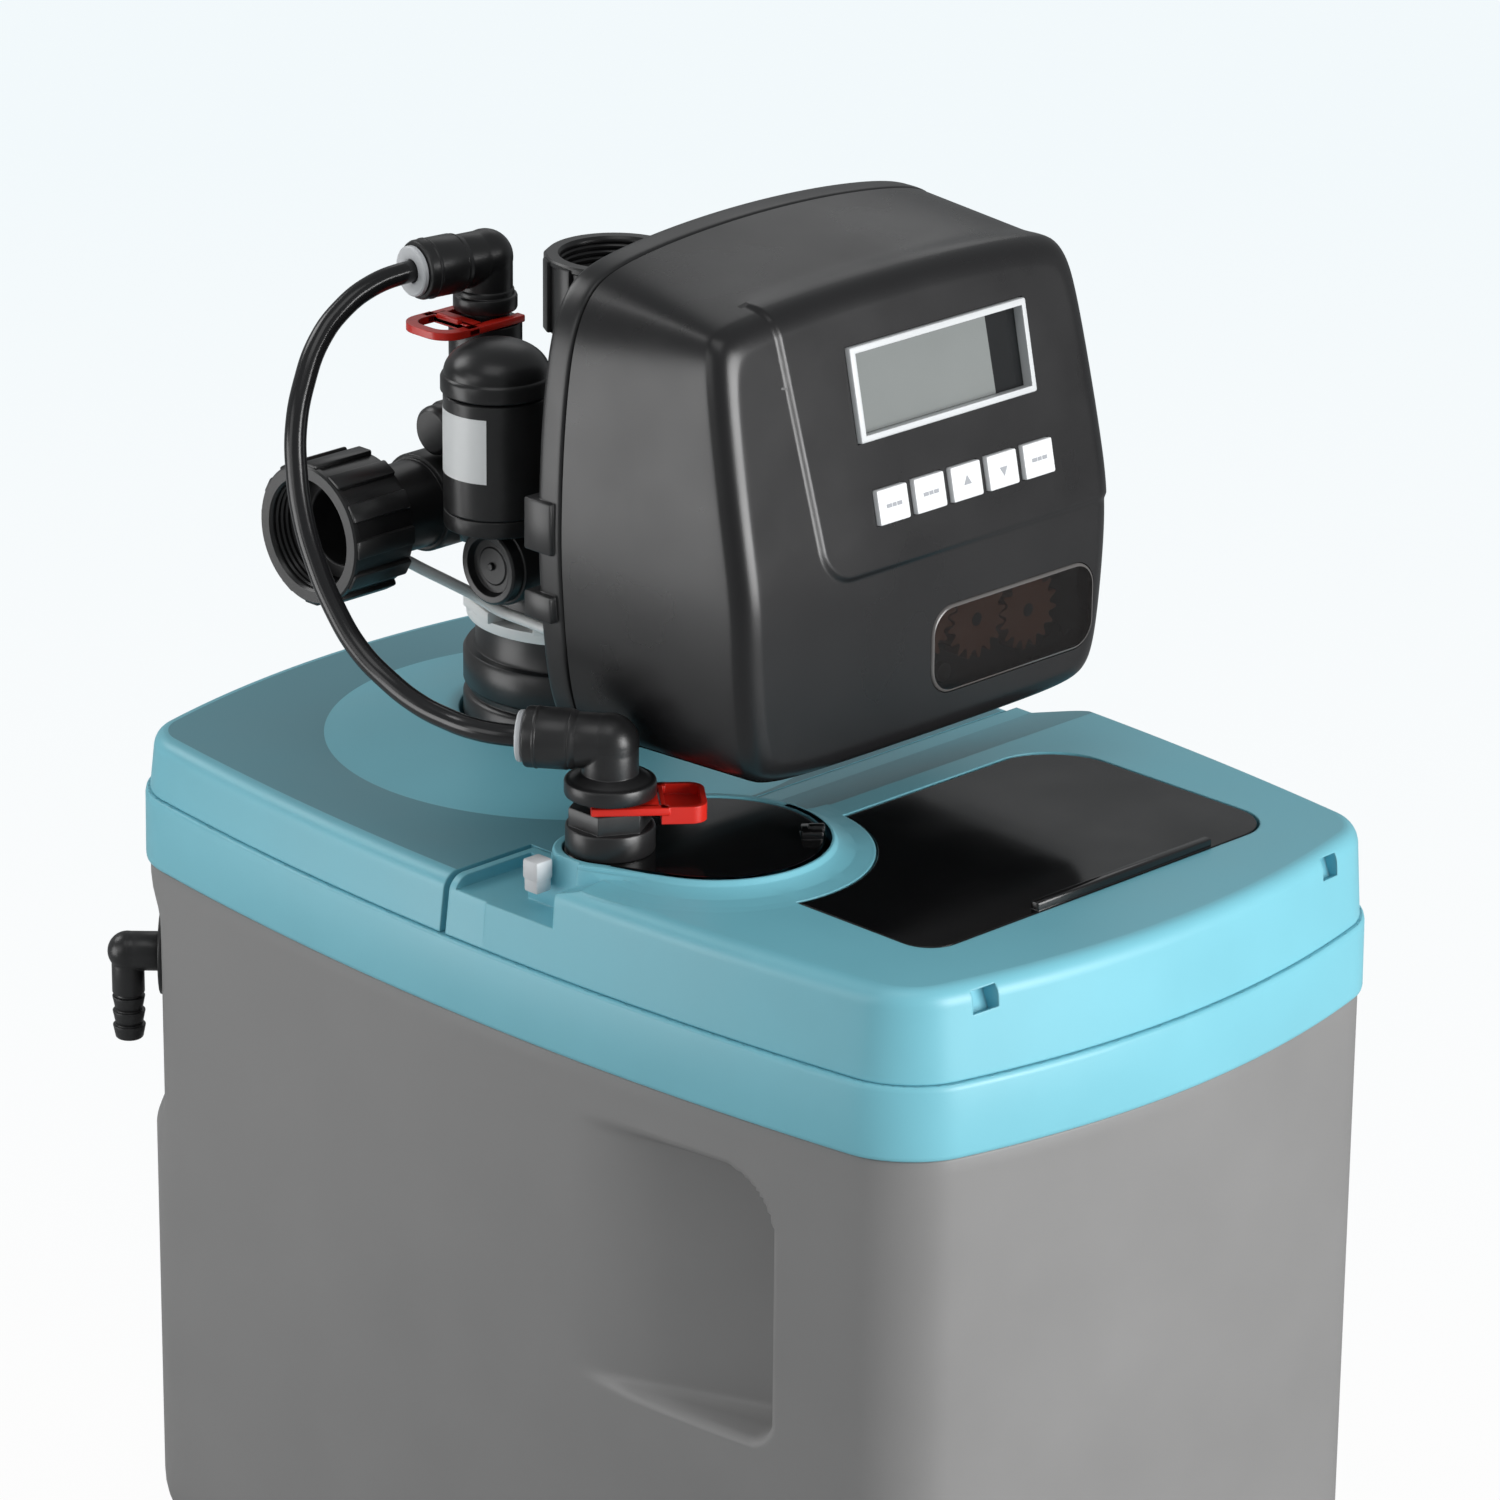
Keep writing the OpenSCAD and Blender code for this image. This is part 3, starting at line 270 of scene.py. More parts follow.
wire(sheet,
     (floor_spot, "Object", backwards, 0),
     (backwards, "Value", fade_out, "Value"),
     (fade_out, "Result", far_tint, 0),
     (far_tint, 2, glow, "Color"),
     (paper_rays, "Is Camera Ray", paper_seen, "Value"),
     (paper_seen, "Result", paper_mix, "Fac"),
     (matt, "BSDF", paper_mix, 1),
     (glow, "Emission", paper_mix, 2),
     (paper_mix, "Shader", sheet.nodes["Material Output"], "Surface"))
floor_mesh.materials.append(paper)


# Cabinet
# Blow-moulded grey salt cabinet with bowed sides and a rounded foot. A scooped hand-hold is moulded into
# each long side, deepest at its front edge, and a flat across the left rear corner holds the overflow elbow.
width = 0.330
depth = 0.526
side_bow = 0.017
end_bow = 0.018
side_bow_span = 0.225
end_bow_span = 0.127
corner_cut = 0.0235
cabinet_top = 0.340
foot_radius = 0.036
hold_front = -0.176
hold_rear = -0.062
hold_low = 0.194
hold_high = 0.318
hold_depth = 0.025
hold_top_radius = 0.030
hold_foot_radius = 0.014
hold_fade = 0.125
hold_edge = 0.007
hold_rows = (-0.190, -0.046)
pocket_out = 0.2595
pocket_low = 0.210
pocket_high = 0.332
pocket_low_fade = 0.018
pocket_high_fade = 0.026


def round_off(bm, geom, affect, radius, segments, clamp=False):
    """Rounds the corners of an outline (VERTICES) or the EDGES of a solid, and gives back what it made."""
    return bmesh.ops.bevel(bm, geom=geom, affect=affect, offset=radius, segments=segments, profile=0.5,
                           material=-1, clamp_overlap=clamp)


def plan_ring(grow, stations=(), fine=0.008, step=0.008):
    """Outline of the cabinet seen from above, grown outwards: a rounded rectangle bowed on all four sides.

    Between the two stations along the long sides the points are as close as fine."""
    half_x = width / 2 + grow
    half_y = depth / 2 + grow
    x = half_x
    y = half_y
    for _ in range(20):
        x = half_x - side_bow * (y / side_bow_span) ** 2
        y = half_y - end_bow * (x / end_bow_span) ** 2
    bm = bmesh.new()
    right = [bm.verts.new((x, py, 0)) for py in (-y, *stations, y)]
    left = [bm.verts.new((-x, py, 0)) for py in (y, *reversed(stations), -y)]
    bm.faces.new(right + left)
    corners = [right[0], right[-1], left[0], left[-1]]
    round_off(bm, corners, "VERTICES", corner_cut + grow, 10)
    for edge in list(bm.edges):
        between = stations and all(stations[0] - 1e-6 < v.co.y < stations[1] + 1e-6 for v in edge.verts)
        pitch = fine if between and abs(edge.verts[0].co.x - edge.verts[1].co.x) < 1e-6 else step
        cuts = int(edge.calc_length() / pitch)
        if cuts:
            bmesh.ops.subdivide_edges(bm, edges=[edge], cuts=cuts)
    for vert in bm.verts:
        px, py = vert.co.x, vert.co.y
        vert.co.x = px * (half_x - side_bow * (py / side_bow_span) ** 2) / x
        vert.co.y = py * (half_y - end_bow * (px / end_bow_span) ** 2) / y
    bm.faces.ensure_lookup_table()
    points = [loop.vert.co.copy() for loop in bm.faces[0].loops]
    bm.free()
    return points


def closed_ring(bm, points):
    """Closed ring of edges through points."""
    verts = [bm.verts.new(p) for p in points]
    return [bm.edges.new((verts[i - 1], verts[i])) for i in range(len(verts))]


def stacked(bm, section, **plan):
    """Wall through plan rings, given as (grow, height) one after the other."""
    rings = []
    for grow, z in section:
        rings.append(closed_ring(bm, [Vector((p.x, p.y, z)) for p in plan_ring(grow, **plan)]))
    for one, other in zip(rings, rings[1:]):
        bmesh.ops.bridge_loops(bm, edges=one + other)
    return rings


def smooth_step(t):
    """Soft ramp from 0 to 1."""
    t = min(1, max(0, t))
    return t * t * (3 - 2 * t)


def place_piece(name, bm, finishes, body, nodes=(), sharp=38):
    """Makes the mesh an object that rides on a body and stands for CAD nodes.

    Faces of many corners are flat, and edges past sharp stay crisp."""
    bmesh.ops.recalc_face_normals(bm, faces=bm.faces)
    for face in bm.faces:
        face.smooth = len(face.verts) <= 8
    for edge in bm.edges:
        edge.smooth = len(edge.link_faces) == 2 and edge.calc_face_angle() < math.radians(sharp)
    mesh = bpy.data.meshes.new(name)
    bm.to_mesh(mesh)
    bm.free()
    piece = bpy.data.objects.new(name, mesh)
    bpy.context.collection.objects.link(piece)
    for finish in finishes:
        mesh.materials.append(finish)
    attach(piece, body)
    if nodes:
        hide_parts(*nodes)
    return piece


def hold_scoop(y, z):
    """Depth of a hand-hold at a point of the long side."""
    front = y - hold_front
    top = hold_high - z
    bottom = z - hold_low
    inside = min(front, top, bottom)
    for room, radius in ((top, hold_top_radius), (bottom, hold_foot_radius)):
        if front < radius and room < radius:
            inside = min(inside, radius - math.hypot(radius - front, radius - room))
    fade = smooth_step((hold_rear - y) / hold_fade)
    return hold_depth * fade * smooth_step(inside / hold_edge)


cabinet_bm = bmesh.new()
foot_angles = [math.radians(9 * i) for i in range(11)]
foot = [(-foot_radius * (1 - math.sin(a)), foot_radius * (1 - math.cos(a))) for a in foot_angles]
upright_z = [0.060, 0.095, 0.130, 0.165] + [0.184 + 0.002 * i for i in range(72)] + [0.3325, 0.3385]
wall = [(0, z) for z in upright_z] + [(-0.0004, 0.3396), (-0.0012, cabinet_top)]
cabinet_rings = stacked(cabinet_bm, foot + wall, stations=hold_rows, fine=0.002)
bmesh.ops.edgeloop_fill(cabinet_bm, edges=cabinet_rings[0])
for vert in cabinet_bm.verts:
    x, y, z = vert.co
    if abs(x) > 0.10 and hold_front < y < hold_rear and hold_low < z < hold_high:
        vert.co.x -= math.copysign(hold_scoop(y, z), x)
    beyond = (y - x) * math.sqrt(0.5) - pocket_out
    if beyond > 0:
        above = smooth_step((z - pocket_low) / pocket_low_fade)
        below = smooth_step((pocket_high - z) / pocket_high_fade)
        vert.co += beyond * above * below * math.sqrt(0.5) * Vector((1, -1, 0))
cabinet_grey = plastic("cabinet_grey", (0.505, 0.502, 0.500), 0.50, grain=2200, relief=0.10, wear=0.15)
cabinet = place_piece("cabinet_shell", cabinet_bm, [cabinet_grey], "base", ["cabinet"],
                      sharp=75)
shell = cabinet.modifiers.new("wall", "SOLIDIFY")
shell.thickness = 0.004
shell.offset = -1


# Top collar
# Turquoise band that is pushed over the rim of the cabinet and stands 2 mm proud of it. Its upper ledge
# carries the two covers.
turquoise = plastic("turquoise_satin", (0.462, 0.735, 0.794), 0.40, grain=2400, relief=0.06, wear=0.12,
                    soft=0.0012)
collar_bm = bmesh.new()
collar_section = [
    (-0.0100, 0.3404), (0.0014, 0.3404), (0.0022, 0.3412), (0.0024, 0.3425), (0.0020, 0.3705),
    (0.0016, 0.3722), (0.0006, 0.3730), (-0.0030, 0.3730), (-0.0100, 0.3730),
]
collar_rings = stacked(collar_bm, collar_section)
bmesh.ops.bridge_loops(collar_bm, edges=collar_rings[-1] + collar_rings[0])
place_piece("collar_band", collar_bm, [turquoise], "base", ["top_collar"])


# Rear cover
# Moulded lid over the tank: drafted walls, a rounded top edge, a flat top with a matt texture whose darker
# colour is painted shade, and a low smooth cone round the tank neck. It meets the front cover in a straight
# joint with a step at the left.
rear_top = 0.399
lid_round = 0.008
lid_draft = 0.0030
neck = Vector((0, 0.105, 0))
past_side = 0.3
past_end = 0.4
under_lid = 0.3
over_lid = 0.5
joint_rear = -0.0094
step_right = -0.1110
step_rear = 0.0163


def cover_section(top):
    """Drafted cover wall with a rounded top edge, as (grow, height)."""
    section = [(-0.0010, 0.3732), (-0.0007, 0.3737), (-lid_draft, top - lid_round)]
    for i in range(1, 9):
        a = math.radians(11.25 * i)
        inset = lid_round * (1 - math.cos(a))
        section.append((-lid_draft - inset, top - lid_round + lid_round * math.sin(a)))
    return section


def solid_cover(top):
    """Closed cover blank over the whole plan."""
    bm = bmesh.new()
    rings = stacked(bm, cover_section(top))
    bmesh.ops.edgeloop_fill(bm, edges=rings[0])
    bmesh.ops.edgeloop_fill(bm, edges=rings[-1])
    return bm


def brick(bm, low, high, edge=0.0, turn=Matrix()):
    """Block between two corners, its edges rounded, turned about the origin."""
    size = Vector(high) - Vector(low)
    middle = (Vector(high) + Vector(low)) / 2
    place = turn @ Matrix.Translation(middle) @ Matrix.Diagonal((*size, 1))
    made = bmesh.ops.create_cube(bm, size=1, matrix=place)
    if edge:
        round_off(bm, list({e for v in made["verts"] for e in v.link_edges}), "EDGES", edge, 2)


def carve(bm, tool, operation="DIFFERENCE"):
    """Boolean of one mesh with another; both are used up."""
    stock = []
    for source in (bm, tool):
        bmesh.ops.recalc_face_normals(source, faces=source.faces)
        mesh = bpy.data.meshes.new("stock")
        source.to_mesh(mesh)
        source.free()
        stock.append(bpy.data.objects.new("stock", mesh))
        bpy.context.collection.objects.link(stock[-1])
    cut = stock[0].modifiers.new("cut", "BOOLEAN")
    cut.operation = operation
    cut.object = stock[1]
    cut.solver = "EXACT"
    bpy.context.view_layer.update()
    result = bmesh.new()
    result.from_object(stock[0], bpy.context.evaluated_depsgraph_get())
    for item in stock:
        mesh = item.data
        bpy.data.objects.remove(item)
        bpy.data.meshes.remove(mesh)
    return result


def cut_brick(bm, low, high, turn=Matrix()):
    """Cuts a block out of a mesh."""
    tool = bmesh.new()
    brick(tool, low, high, turn=turn)
    return carve(bm, tool)


def cut_away(bm, x=(-past_side, past_side), y=(-past_end, past_end), z=(under_lid, over_lid)):
    """Cuts a block out of a cover; limits that aren't given lie outside the cover."""
    return cut_brick(bm, *zip(x, y, z))


def turned(bm, profile, place=Matrix(), sides=72):
    """Turned shape: a profile of (radius, height) spun round the upright axis, then put in place."""
    before = set(bm.verts)
    verts = [bm.verts.new((r, 0, h)) for r, h in profile]
    edges = [bm.edges.new(pair) for pair in zip(verts, verts[1:])]
    bmesh.ops.spin(bm, geom=verts + edges, cent=(0, 0, 0), axis=(0, 0, 1), angle=math.tau, steps=sides,
                   use_merge=True)
    made = [v for v in bm.verts if v not in before]
    bmesh.ops.transform(bm, matrix=place, verts=made)
    bmesh.ops.remove_doubles(bm, verts=made, dist=1e-6)


rear_bm = cut_away(solid_cover(rear_top), y=(-past_end, joint_rear))
rear_bm = cut_away(rear_bm, x=(-past_side, step_right), y=(-past_end, step_rear))
cone = [
    (0.1135, 0.3985), (0.1125, 0.3990), (0.1095, 0.3998), (0.0625, 0.4098), (0.0600, 0.4104),
    (0.0575, 0.4108), (0.0545, 0.4108), (0.0525, 0.4100), (0.0520, 0.4085), (0.0520, 0.3985),
]
turned(rear_bm, cone, Matrix.Translation(neck), sides=128)
# The big flat faces of the top take the darker matt turquoise: painted shade on the flat top.
for face in rear_bm.faces:
    face.material_index = 1 if len(face.verts) > 40 and face.normal.z > 0.99 else 0
turquoise_matt_painted_shade = plastic("turquoise_matt_painted_shade", (0.375, 0.590, 0.640), 0.46, grain=900, relief=0.12, wear=0.12)
place_piece("rear_lid", rear_bm, [turquoise, turquoise_matt_painted_shade], "base", ["rear_cover"],
            sharp=24)


# Front cover
# Moulded lid over the salt space. A ramp lifts it above the rear cover, a raised boss rims the brine well,
# a notch beside the boss holds a latch, and the hatch lies in a recess with a ledge.
front_top = 0.413
boss_top = 0.419
boss_foot = 0.385
well = Vector((-0.084, -0.067, 0))
lobe = Vector((-0.124, -0.046, 0))
joint_front = -0.0106
step_left = -0.1126
step_front = 0.0128
step_joint = -0.0110
ramp_front = -0.064
ramp_rear = -0.020
ramp_end = 0.3
notch_floor = 0.394
notch_rear = 0.009
hatch_low = (-0.101, -0.210)
hatch_high = (0.113, -0.077)
hatch_arc = 0.069
recess_corner = 0.030


def egg(levels):
    """Solid round the well and its small end, from levels of (big radius, small radius, height)."""
    bm = bmesh.new()
    for big, small, z in levels:
        for spot, radius in ((well, big), (lobe, small)):
            bmesh.ops.create_circle(bm, segments=96, radius=radius,
                                    matrix=Matrix.Translation((spot.x, spot.y, z)))
    hull = bmesh.ops.convex_hull(bm, input=bm.verts)
    spare = {g for g in hull["geom_interior"] + hull["geom_unused"] if isinstance(g, bmesh.types.BMVert)}
    bmesh.ops.delete(bm, geom=list(spare), context="VERTS")
    bmesh.ops.dissolve_limit(bm, angle_limit=math.radians(0.5), verts=bm.verts, edges=bm.edges)
    return bm


def rounded_egg(big, small, low, high, edge):
    """Solid round the well and its small end with a rounded top rim."""
    rim = [(edge * (1 - math.cos(a)), high - edge + edge * math.sin(a)) for a in (0, 0.52, 1.05, 1.57)]
    return egg([(big, small, low)] + [(big - inset, small - inset, z) for inset, z in rim])


def pull(bm, vec):
    """Pulls the flat outline of a mesh out into a solid."""
    pulled = bmesh.ops.extrude_face_region(bm, geom=bm.faces[:])
    bmesh.ops.translate(bm, vec=vec, verts=[g for g in pulled["geom"] if isinstance(g, bmesh.types.BMVert)])


def turn_by(degrees, axis="Z"):
    """Turn about an axis through the origin."""
    return Matrix.Rotation(math.radians(degrees), 4, axis)


def hatch_solid(grow, low, high, rear_corner):
    """Hatch outline as a solid: rounded corners and a round bite beside the well."""
    bm = bmesh.new()
    x0, y0 = (v - grow for v in hatch_low)
    x1, y1 = (v + grow for v in hatch_high)
    corners = [(x0, y0, 0.015), (x1, y0, 0.021), (x1, y1, rear_corner), (x0, y1, 0.004)]
    verts = [bm.verts.new((x, y, low)) for x, y, _ in corners]
    bm.faces.new(verts)
    for vert, (_, _, radius) in zip(verts, corners):
        round_off(bm, [vert], "VERTICES", radius, 12)
    pull(bm, (0, 0, high - low))
    bite = bmesh.new()
    bmesh.ops.create_cone(bite, cap_ends=True, segments=160, radius1=hatch_arc - grow,
                          radius2=hatch_arc - grow, depth=0.2,
                          matrix=Matrix.Translation((well.x, well.y, (low + high) / 2)))
    return carve(bm, bite)


front_bm = cut_away(solid_cover(front_top), y=(joint_front, past_end))
left_bm = cut_away(solid_cover(rear_top), y=(step_front, past_end))
left_bm = cut_away(left_bm, x=(step_left, past_side))
left_bm = cut_away(left_bm, y=(-past_end, step_joint))
front_bm = carve(front_bm, left_bm, "UNION")
ramp_line = [
    (ramp_front, front_top), (ramp_rear, rear_top), (ramp_end, rear_top), (ramp_end, over_lid),
    (ramp_front, over_lid),
]
ramp = bmesh.new()
ramp.faces.new([ramp.verts.new((-past_side, y, z)) for y, z in ramp_line])
pull(ramp, (2 * past_side, 0, 0))
front_bm = carve(front_bm, ramp)
cove = [
    (0.0510, boss_top), (0.0526, 0.4168), (0.0555, 0.4152), (0.0600, 0.4140), (0.0665, 0.4133),
    (0.0730, 0.4129),
]
for (near, high), (far, low) in zip(cove, cove[1:]):
    step_bm = egg([(far, 0.020, boss_foot), (far, 0.020, low), (near, 0.020, high)])
    step_bm = cut_away(step_bm, y=(-0.062, 0.3))
    front_bm = carve(front_bm, step_bm, "UNION")
boss_wall = [(0.0565, 0.0262, boss_foot), (0.0565, 0.0262, 0.400), (0.0515, 0.0245, 0.4168)]
front_bm = carve(front_bm, egg(boss_wall), "UNION")
front_bm = carve(front_bm, rounded_egg(0.0512, 0.0242, boss_foot, boss_top, 0.0012), "UNION")
front_bm = carve(front_bm, rounded_egg(0.0473, 0.0203, under_lid, over_lid, 0.001))
front_bm = cut_away(front_bm, x=(-past_side, -0.146), y=(-0.051, notch_rear), z=(notch_floor, over_lid))
front_bm = cut_away(front_bm, x=(-0.147, -0.118), y=(-0.019, notch_rear), z=(notch_floor, over_lid))
front_bm = carve(front_bm, hatch_solid(0.0005, 0.4077, 0.45, recess_corner))
front_bm = carve(front_bm, hatch_solid(-0.006, under_lid, 0.45, recess_corner))
front_bm = cut_away(front_bm, x=(-0.016, 0.090), y=(-0.0865, -0.0766), z=(under_lid, 0.409))
lean = Matrix.Translation((0, -0.2455, 0.400)) @ turn_by(-24, "X")
for x in (-0.113, 0.097):
    front_bm = cut_brick(front_bm, (x, -0.03, 0), (x + 0.012, 0.003, 0.0095), turn=lean)
place_piece("front_lid", front_bm, [turquoise], "base", ["front_cover"], sharp=24)


# Latch block
# Pale moulded block that stands in the notch beside the boss, with a rounded head.
pale_grey = plastic("pale_grey", (0.79, 0.80, 0.81), 0.40, relief=0.05, wear=0.1)
latch_bm = bmesh.new()
brick(latch_bm, (-0.1568, -0.036, 0.4030), (-0.1482, -0.028, 0.4145), 0.0010)
brick(latch_bm, (-0.1572, -0.0366, 0.4085), (-0.1478, -0.0274, 0.4175), 0.0012)
place_piece("latch", latch_bm, [pale_grey], "base", ["latch_block"])


# Salt hatch
# Glossy black plate that lies flush in the front cover and swings up about a pin along its rear edge. A low
# lip along the front edge is for the fingers.
hatch_black = plastic("hatch_black", (0.055, 0.055, 0.058), 0.12, grain=700, relief=0.03, wear=0.12,
                      soft=0.0008)
hatch_bm = hatch_solid(-0.0004, 0.408, front_top, 0.0335)
hatch_bm = cut_brick(hatch_bm, (-0.04, -0.0784, 0.39), (0.2, 0.1, 0.45))
top_edges = [e for e in hatch_bm.edges if all(abs(v.co.z - front_top) < 1e-5 for v in e.verts)
             and any(abs(f.normal.z) < 0.5 for f in e.link_faces)]
round_off(hatch_bm, top_edges, "EDGES", 0.0009, 2, clamp=True)
brick(hatch_bm, (-0.036, -0.2094, 0.409), (0.071, -0.2050, 0.4168), 0.0008)
place_piece("hatch_plate", hatch_bm, [hatch_black], "salt_hatch", ["salt_hatch"], sharp=24)


# Brine well cap
# Black lid of the brine well, level with the boss, with a small snap clip at its rim. The brine fitting
# passes through its small end.
cap_bm = rounded_egg(0.0467, 0.0197, 0.4142, 0.4186, 0.0012)
clip_turn = Matrix.Translation(well) @ turn_by(-41)
brick(cap_bm, (0.037, -0.0055, 0.417), (0.0462, 0.0055, 0.4222), 0.0008, clip_turn)
brick(cap_bm, (0.040, -0.0020, 0.420), (0.0470, 0.0020, 0.4236), 0.0006, clip_turn)
place_piece("well_cap", cap_bm, [hatch_black], "base", ["brine_well_cap"], sharp=24)


# Brine fitting
# Black fitting that rises through the small end of the cap: a round socket, a hexagon for the spanner and
# the neck that the elbow is clipped to.
black = plastic("valve_black", (0.112, 0.112, 0.115), 0.33, grain=1500, relief=0.08, wear=0.45, soft=0.0007)


def rod(bm, start, end, radius, far=None, edge=0.0006, sides=56):
    """Round bar from start to end, with rounded rims; far is its radius at the end."""
    start = Vector(start)
    end = Vector(end)
    span = end - start
    place = Matrix.Translation((start + end) / 2) @ span.to_track_quat("Z", "Y").to_matrix().to_4x4()
    made = bmesh.ops.create_cone(bm, cap_ends=True, segments=sides, radius1=radius,
                                 radius2=radius if far is None else far, depth=span.length, matrix=place)
    rims = {e for v in made["verts"] for e in v.link_edges
            if any(len(f.verts) == sides for f in e.link_faces)}
    round_off(bm, list(rims), "EDGES", edge, 2)


def post(bm, spot, low, high, radius, **rest):
    """Upright round bar at a spot, between two heights."""
    rod(bm, (spot.x, spot.y, low), (spot.x, spot.y, high), radius, **rest)


fitting_bm = bmesh.new()
post(fitting_bm, lobe, 0.4184, 0.4300, 0.0190, edge=0.0012)
post(fitting_bm, lobe, 0.4295, 0.4385, 0.0180, edge=0.0009, sides=6)
post(fitting_bm, lobe, 0.4370, 0.4432, 0.0105)
place_piece("brine_fitting_body", fitting_bm, [black], "base", ["brine_fitting"])


# Push-in elbows
# Two black elbows with a barrel for the tube. One is clipped to the brine fitting, the other to the refill
# tower on the valve. A ring at the mouth of each barrel is the collet that grips the tube.
elbow_rise = 0.023
barrel_length = 0.036


def push_elbow(spot, foot_z, turn, flange):
    """Elbow that stands at spot on a flange, its barrel turned to an angle; also its hub and direction."""
    bm = bmesh.new()
    hub = Vector((spot.x, spot.y, foot_z + elbow_rise))
    out = Vector((math.cos(math.radians(turn)), math.sin(math.radians(turn)), 0))
    post(bm, spot, foot_z, foot_z + 0.007, flange, edge=0.0012)
    post(bm, spot, foot_z + 0.0065, foot_z + 0.0095, flange - 0.0012, far=0.0125)
    post(bm, spot, foot_z, hub.z, 0.0120)
    bmesh.ops.create_uvsphere(bm, u_segments=48, v_segments=24, radius=0.0122,
                              matrix=Matrix.Translation(hub))
    rod(bm, hub, hub + 0.016 * out, 0.0118)
    rod(bm, hub + 0.0135 * out, hub + 0.0165 * out, 0.0118, far=0.0130)
    rod(bm, hub + 0.016 * out, hub + barrel_length * out, 0.0130, edge=0.0016)
    rod(bm, hub + 0.030 * out, hub + 0.0312 * out, 0.0133, edge=0.0004)
    return bm, hub, out


def push_collet(hub, out):
    """Pale collar at the mouth of a barrel, open for the tube."""
    bm = bmesh.new()
    section = [(0.0049, 0.024), (0.0078, 0.024), (0.0078, 0.0362), (0.0104, 0.0362), (0.0110, 0.0368),
               (0.0110, 0.0384), (0.0104, 0.0390), (0.0062, 0.0390), (0.0052, 0.0383), (0.0049, 0.0370),
               (0.0049, 0.024)]
    turned(bm, section, Matrix.Translation(hub) @ out.to_track_quat("Z", "Y").to_matrix().to_4x4(), sides=48)
    return bm


refill = Vector((-0.046, 0.114, 0))
for name, spot, foot_z, turn, flange in (
        ("brine", lobe, 0.443, 126, 0.0195), ("refill", refill, 0.602, 172, 0.0140)):
    elbow_bm, hub, out = push_elbow(spot, foot_z, turn, flange)
    place_piece(name + "_elbow_body", elbow_bm, [black], "base", [name + "_elbow"])
    place_piece(name + "_collet_ring", push_collet(hub, out), [pale_grey], "base", [name + "_collet"])


# Red clips
# Spring clips of red plastic that lock each elbow to its neck. The fork grips the neck and the turned-up
# handle is pulled to take the elbow off.
clip_red = plastic("clip_red", (0.83, 0.15, 0.10), 0.30, grain=900, relief=0.04, wear=0.1, soft=0.0006)
clip_thick = 0.0034


def tongue(low, high, radius):
    """Plate between two corners, the corners of its +X end rounded."""
    bm = bmesh.new()
    outline = ((low[0], low[1]), (high[0], low[1]), (high[0], high[1]), (low[0], high[1]))
    corners = [bm.verts.new((x, y, low[2])) for x, y in outline]
    bm.faces.new(corners)
    round_off(bm, corners[1:3], "VERTICES", radius, 8)
    pull(bm, (0, 0, high[2] - low[2]))
    return bm


def red_clip(handle, spot, z, turn):
    """Adds the fork to a handle made along +X and turns both about the neck."""
    for s in (-1, 1):
        low, high = sorted((s * 0.0108, s * 0.0158))
        brick(handle, (-0.009, low, 0), (0.0240, high, clip_thick), 0.0007)
    brick(handle, (0.0120, -0.0130, 0), (0.0200, 0.0130, clip_thick), 0.0007)
    place = Matrix.Translation((spot.x, spot.y, z)) @ turn_by(turn)
    bmesh.ops.transform(handle, matrix=place, verts=handle.verts)
    return handle


tray = carve(tongue((0.0205, -0.0150, -0.0040), (0.0400, 0.0150, clip_thick), 0.0070),
             tongue((0.0223, -0.0130, -0.0012), (0.0378, 0.0130, 0.02), 0.0052))
loop = carve(tongue((0.0180, -0.0158, 0), (0.0380, 0.0158, clip_thick), 0.0110),
             tongue((0.0200, -0.0108, -0.01), (0.0335, 0.0108, 0.01), 0.0075))
brick(loop, (0.0195, -0.0070, clip_thick - 0.0004), (0.0225, 0.0070, 0.0058), 0.0008)
for name, handle, spot, z, turn in (
        ("brine_clip", tray, lobe, 0.4383, -40), ("refill_clip", loop, refill, 0.5973, 180)):
    place_piece(name + "_fork", red_clip(handle, spot, z, turn), [clip_red], name, [name])


# Overflow elbow
# Black barbed elbow on the flat across the left rear corner, for a drain hose. Its thin flange lies against
# the cabinet wall and a nut inside holds it.
at_pocket = turn_by(45) @ Matrix.Translation((0.0746, pocket_out, 0.290))
bend = Vector((0, 0.0174, 0))
overflow_bm = bmesh.new()
rod(overflow_bm, (0, -0.014, 0), (0, 0.001, 0), 0.0090)
rod(overflow_bm, (0, 0, 0), (0, 0.0025, 0), 0.0195, edge=0.0008)
rod(overflow_bm, (0, 0.002, 0), bend, 0.0090)
bmesh.ops.create_uvsphere(overflow_bm, u_segments=40, v_segments=20, radius=0.0091,
                          matrix=Matrix.Translation(bend))
rod(overflow_bm, bend, bend - Vector((0, 0, 0.020)), 0.0074)
rod(overflow_bm, bend - Vector((0, 0, 0.019)), bend - Vector((0, 0, 0.042)), 0.0060)
for k in range(3):
    low = bend - Vector((0, 0, 0.0415 - 0.007 * k))
    rod(overflow_bm, low, low + Vector((0, 0, 0.006)), 0.0063, far=0.0075, edge=0.0003)
bmesh.ops.transform(overflow_bm, matrix=at_pocket, verts=overflow_bm.verts)
place_piece("overflow_elbow_body", overflow_bm, [black], "base", ["overflow_elbow"])


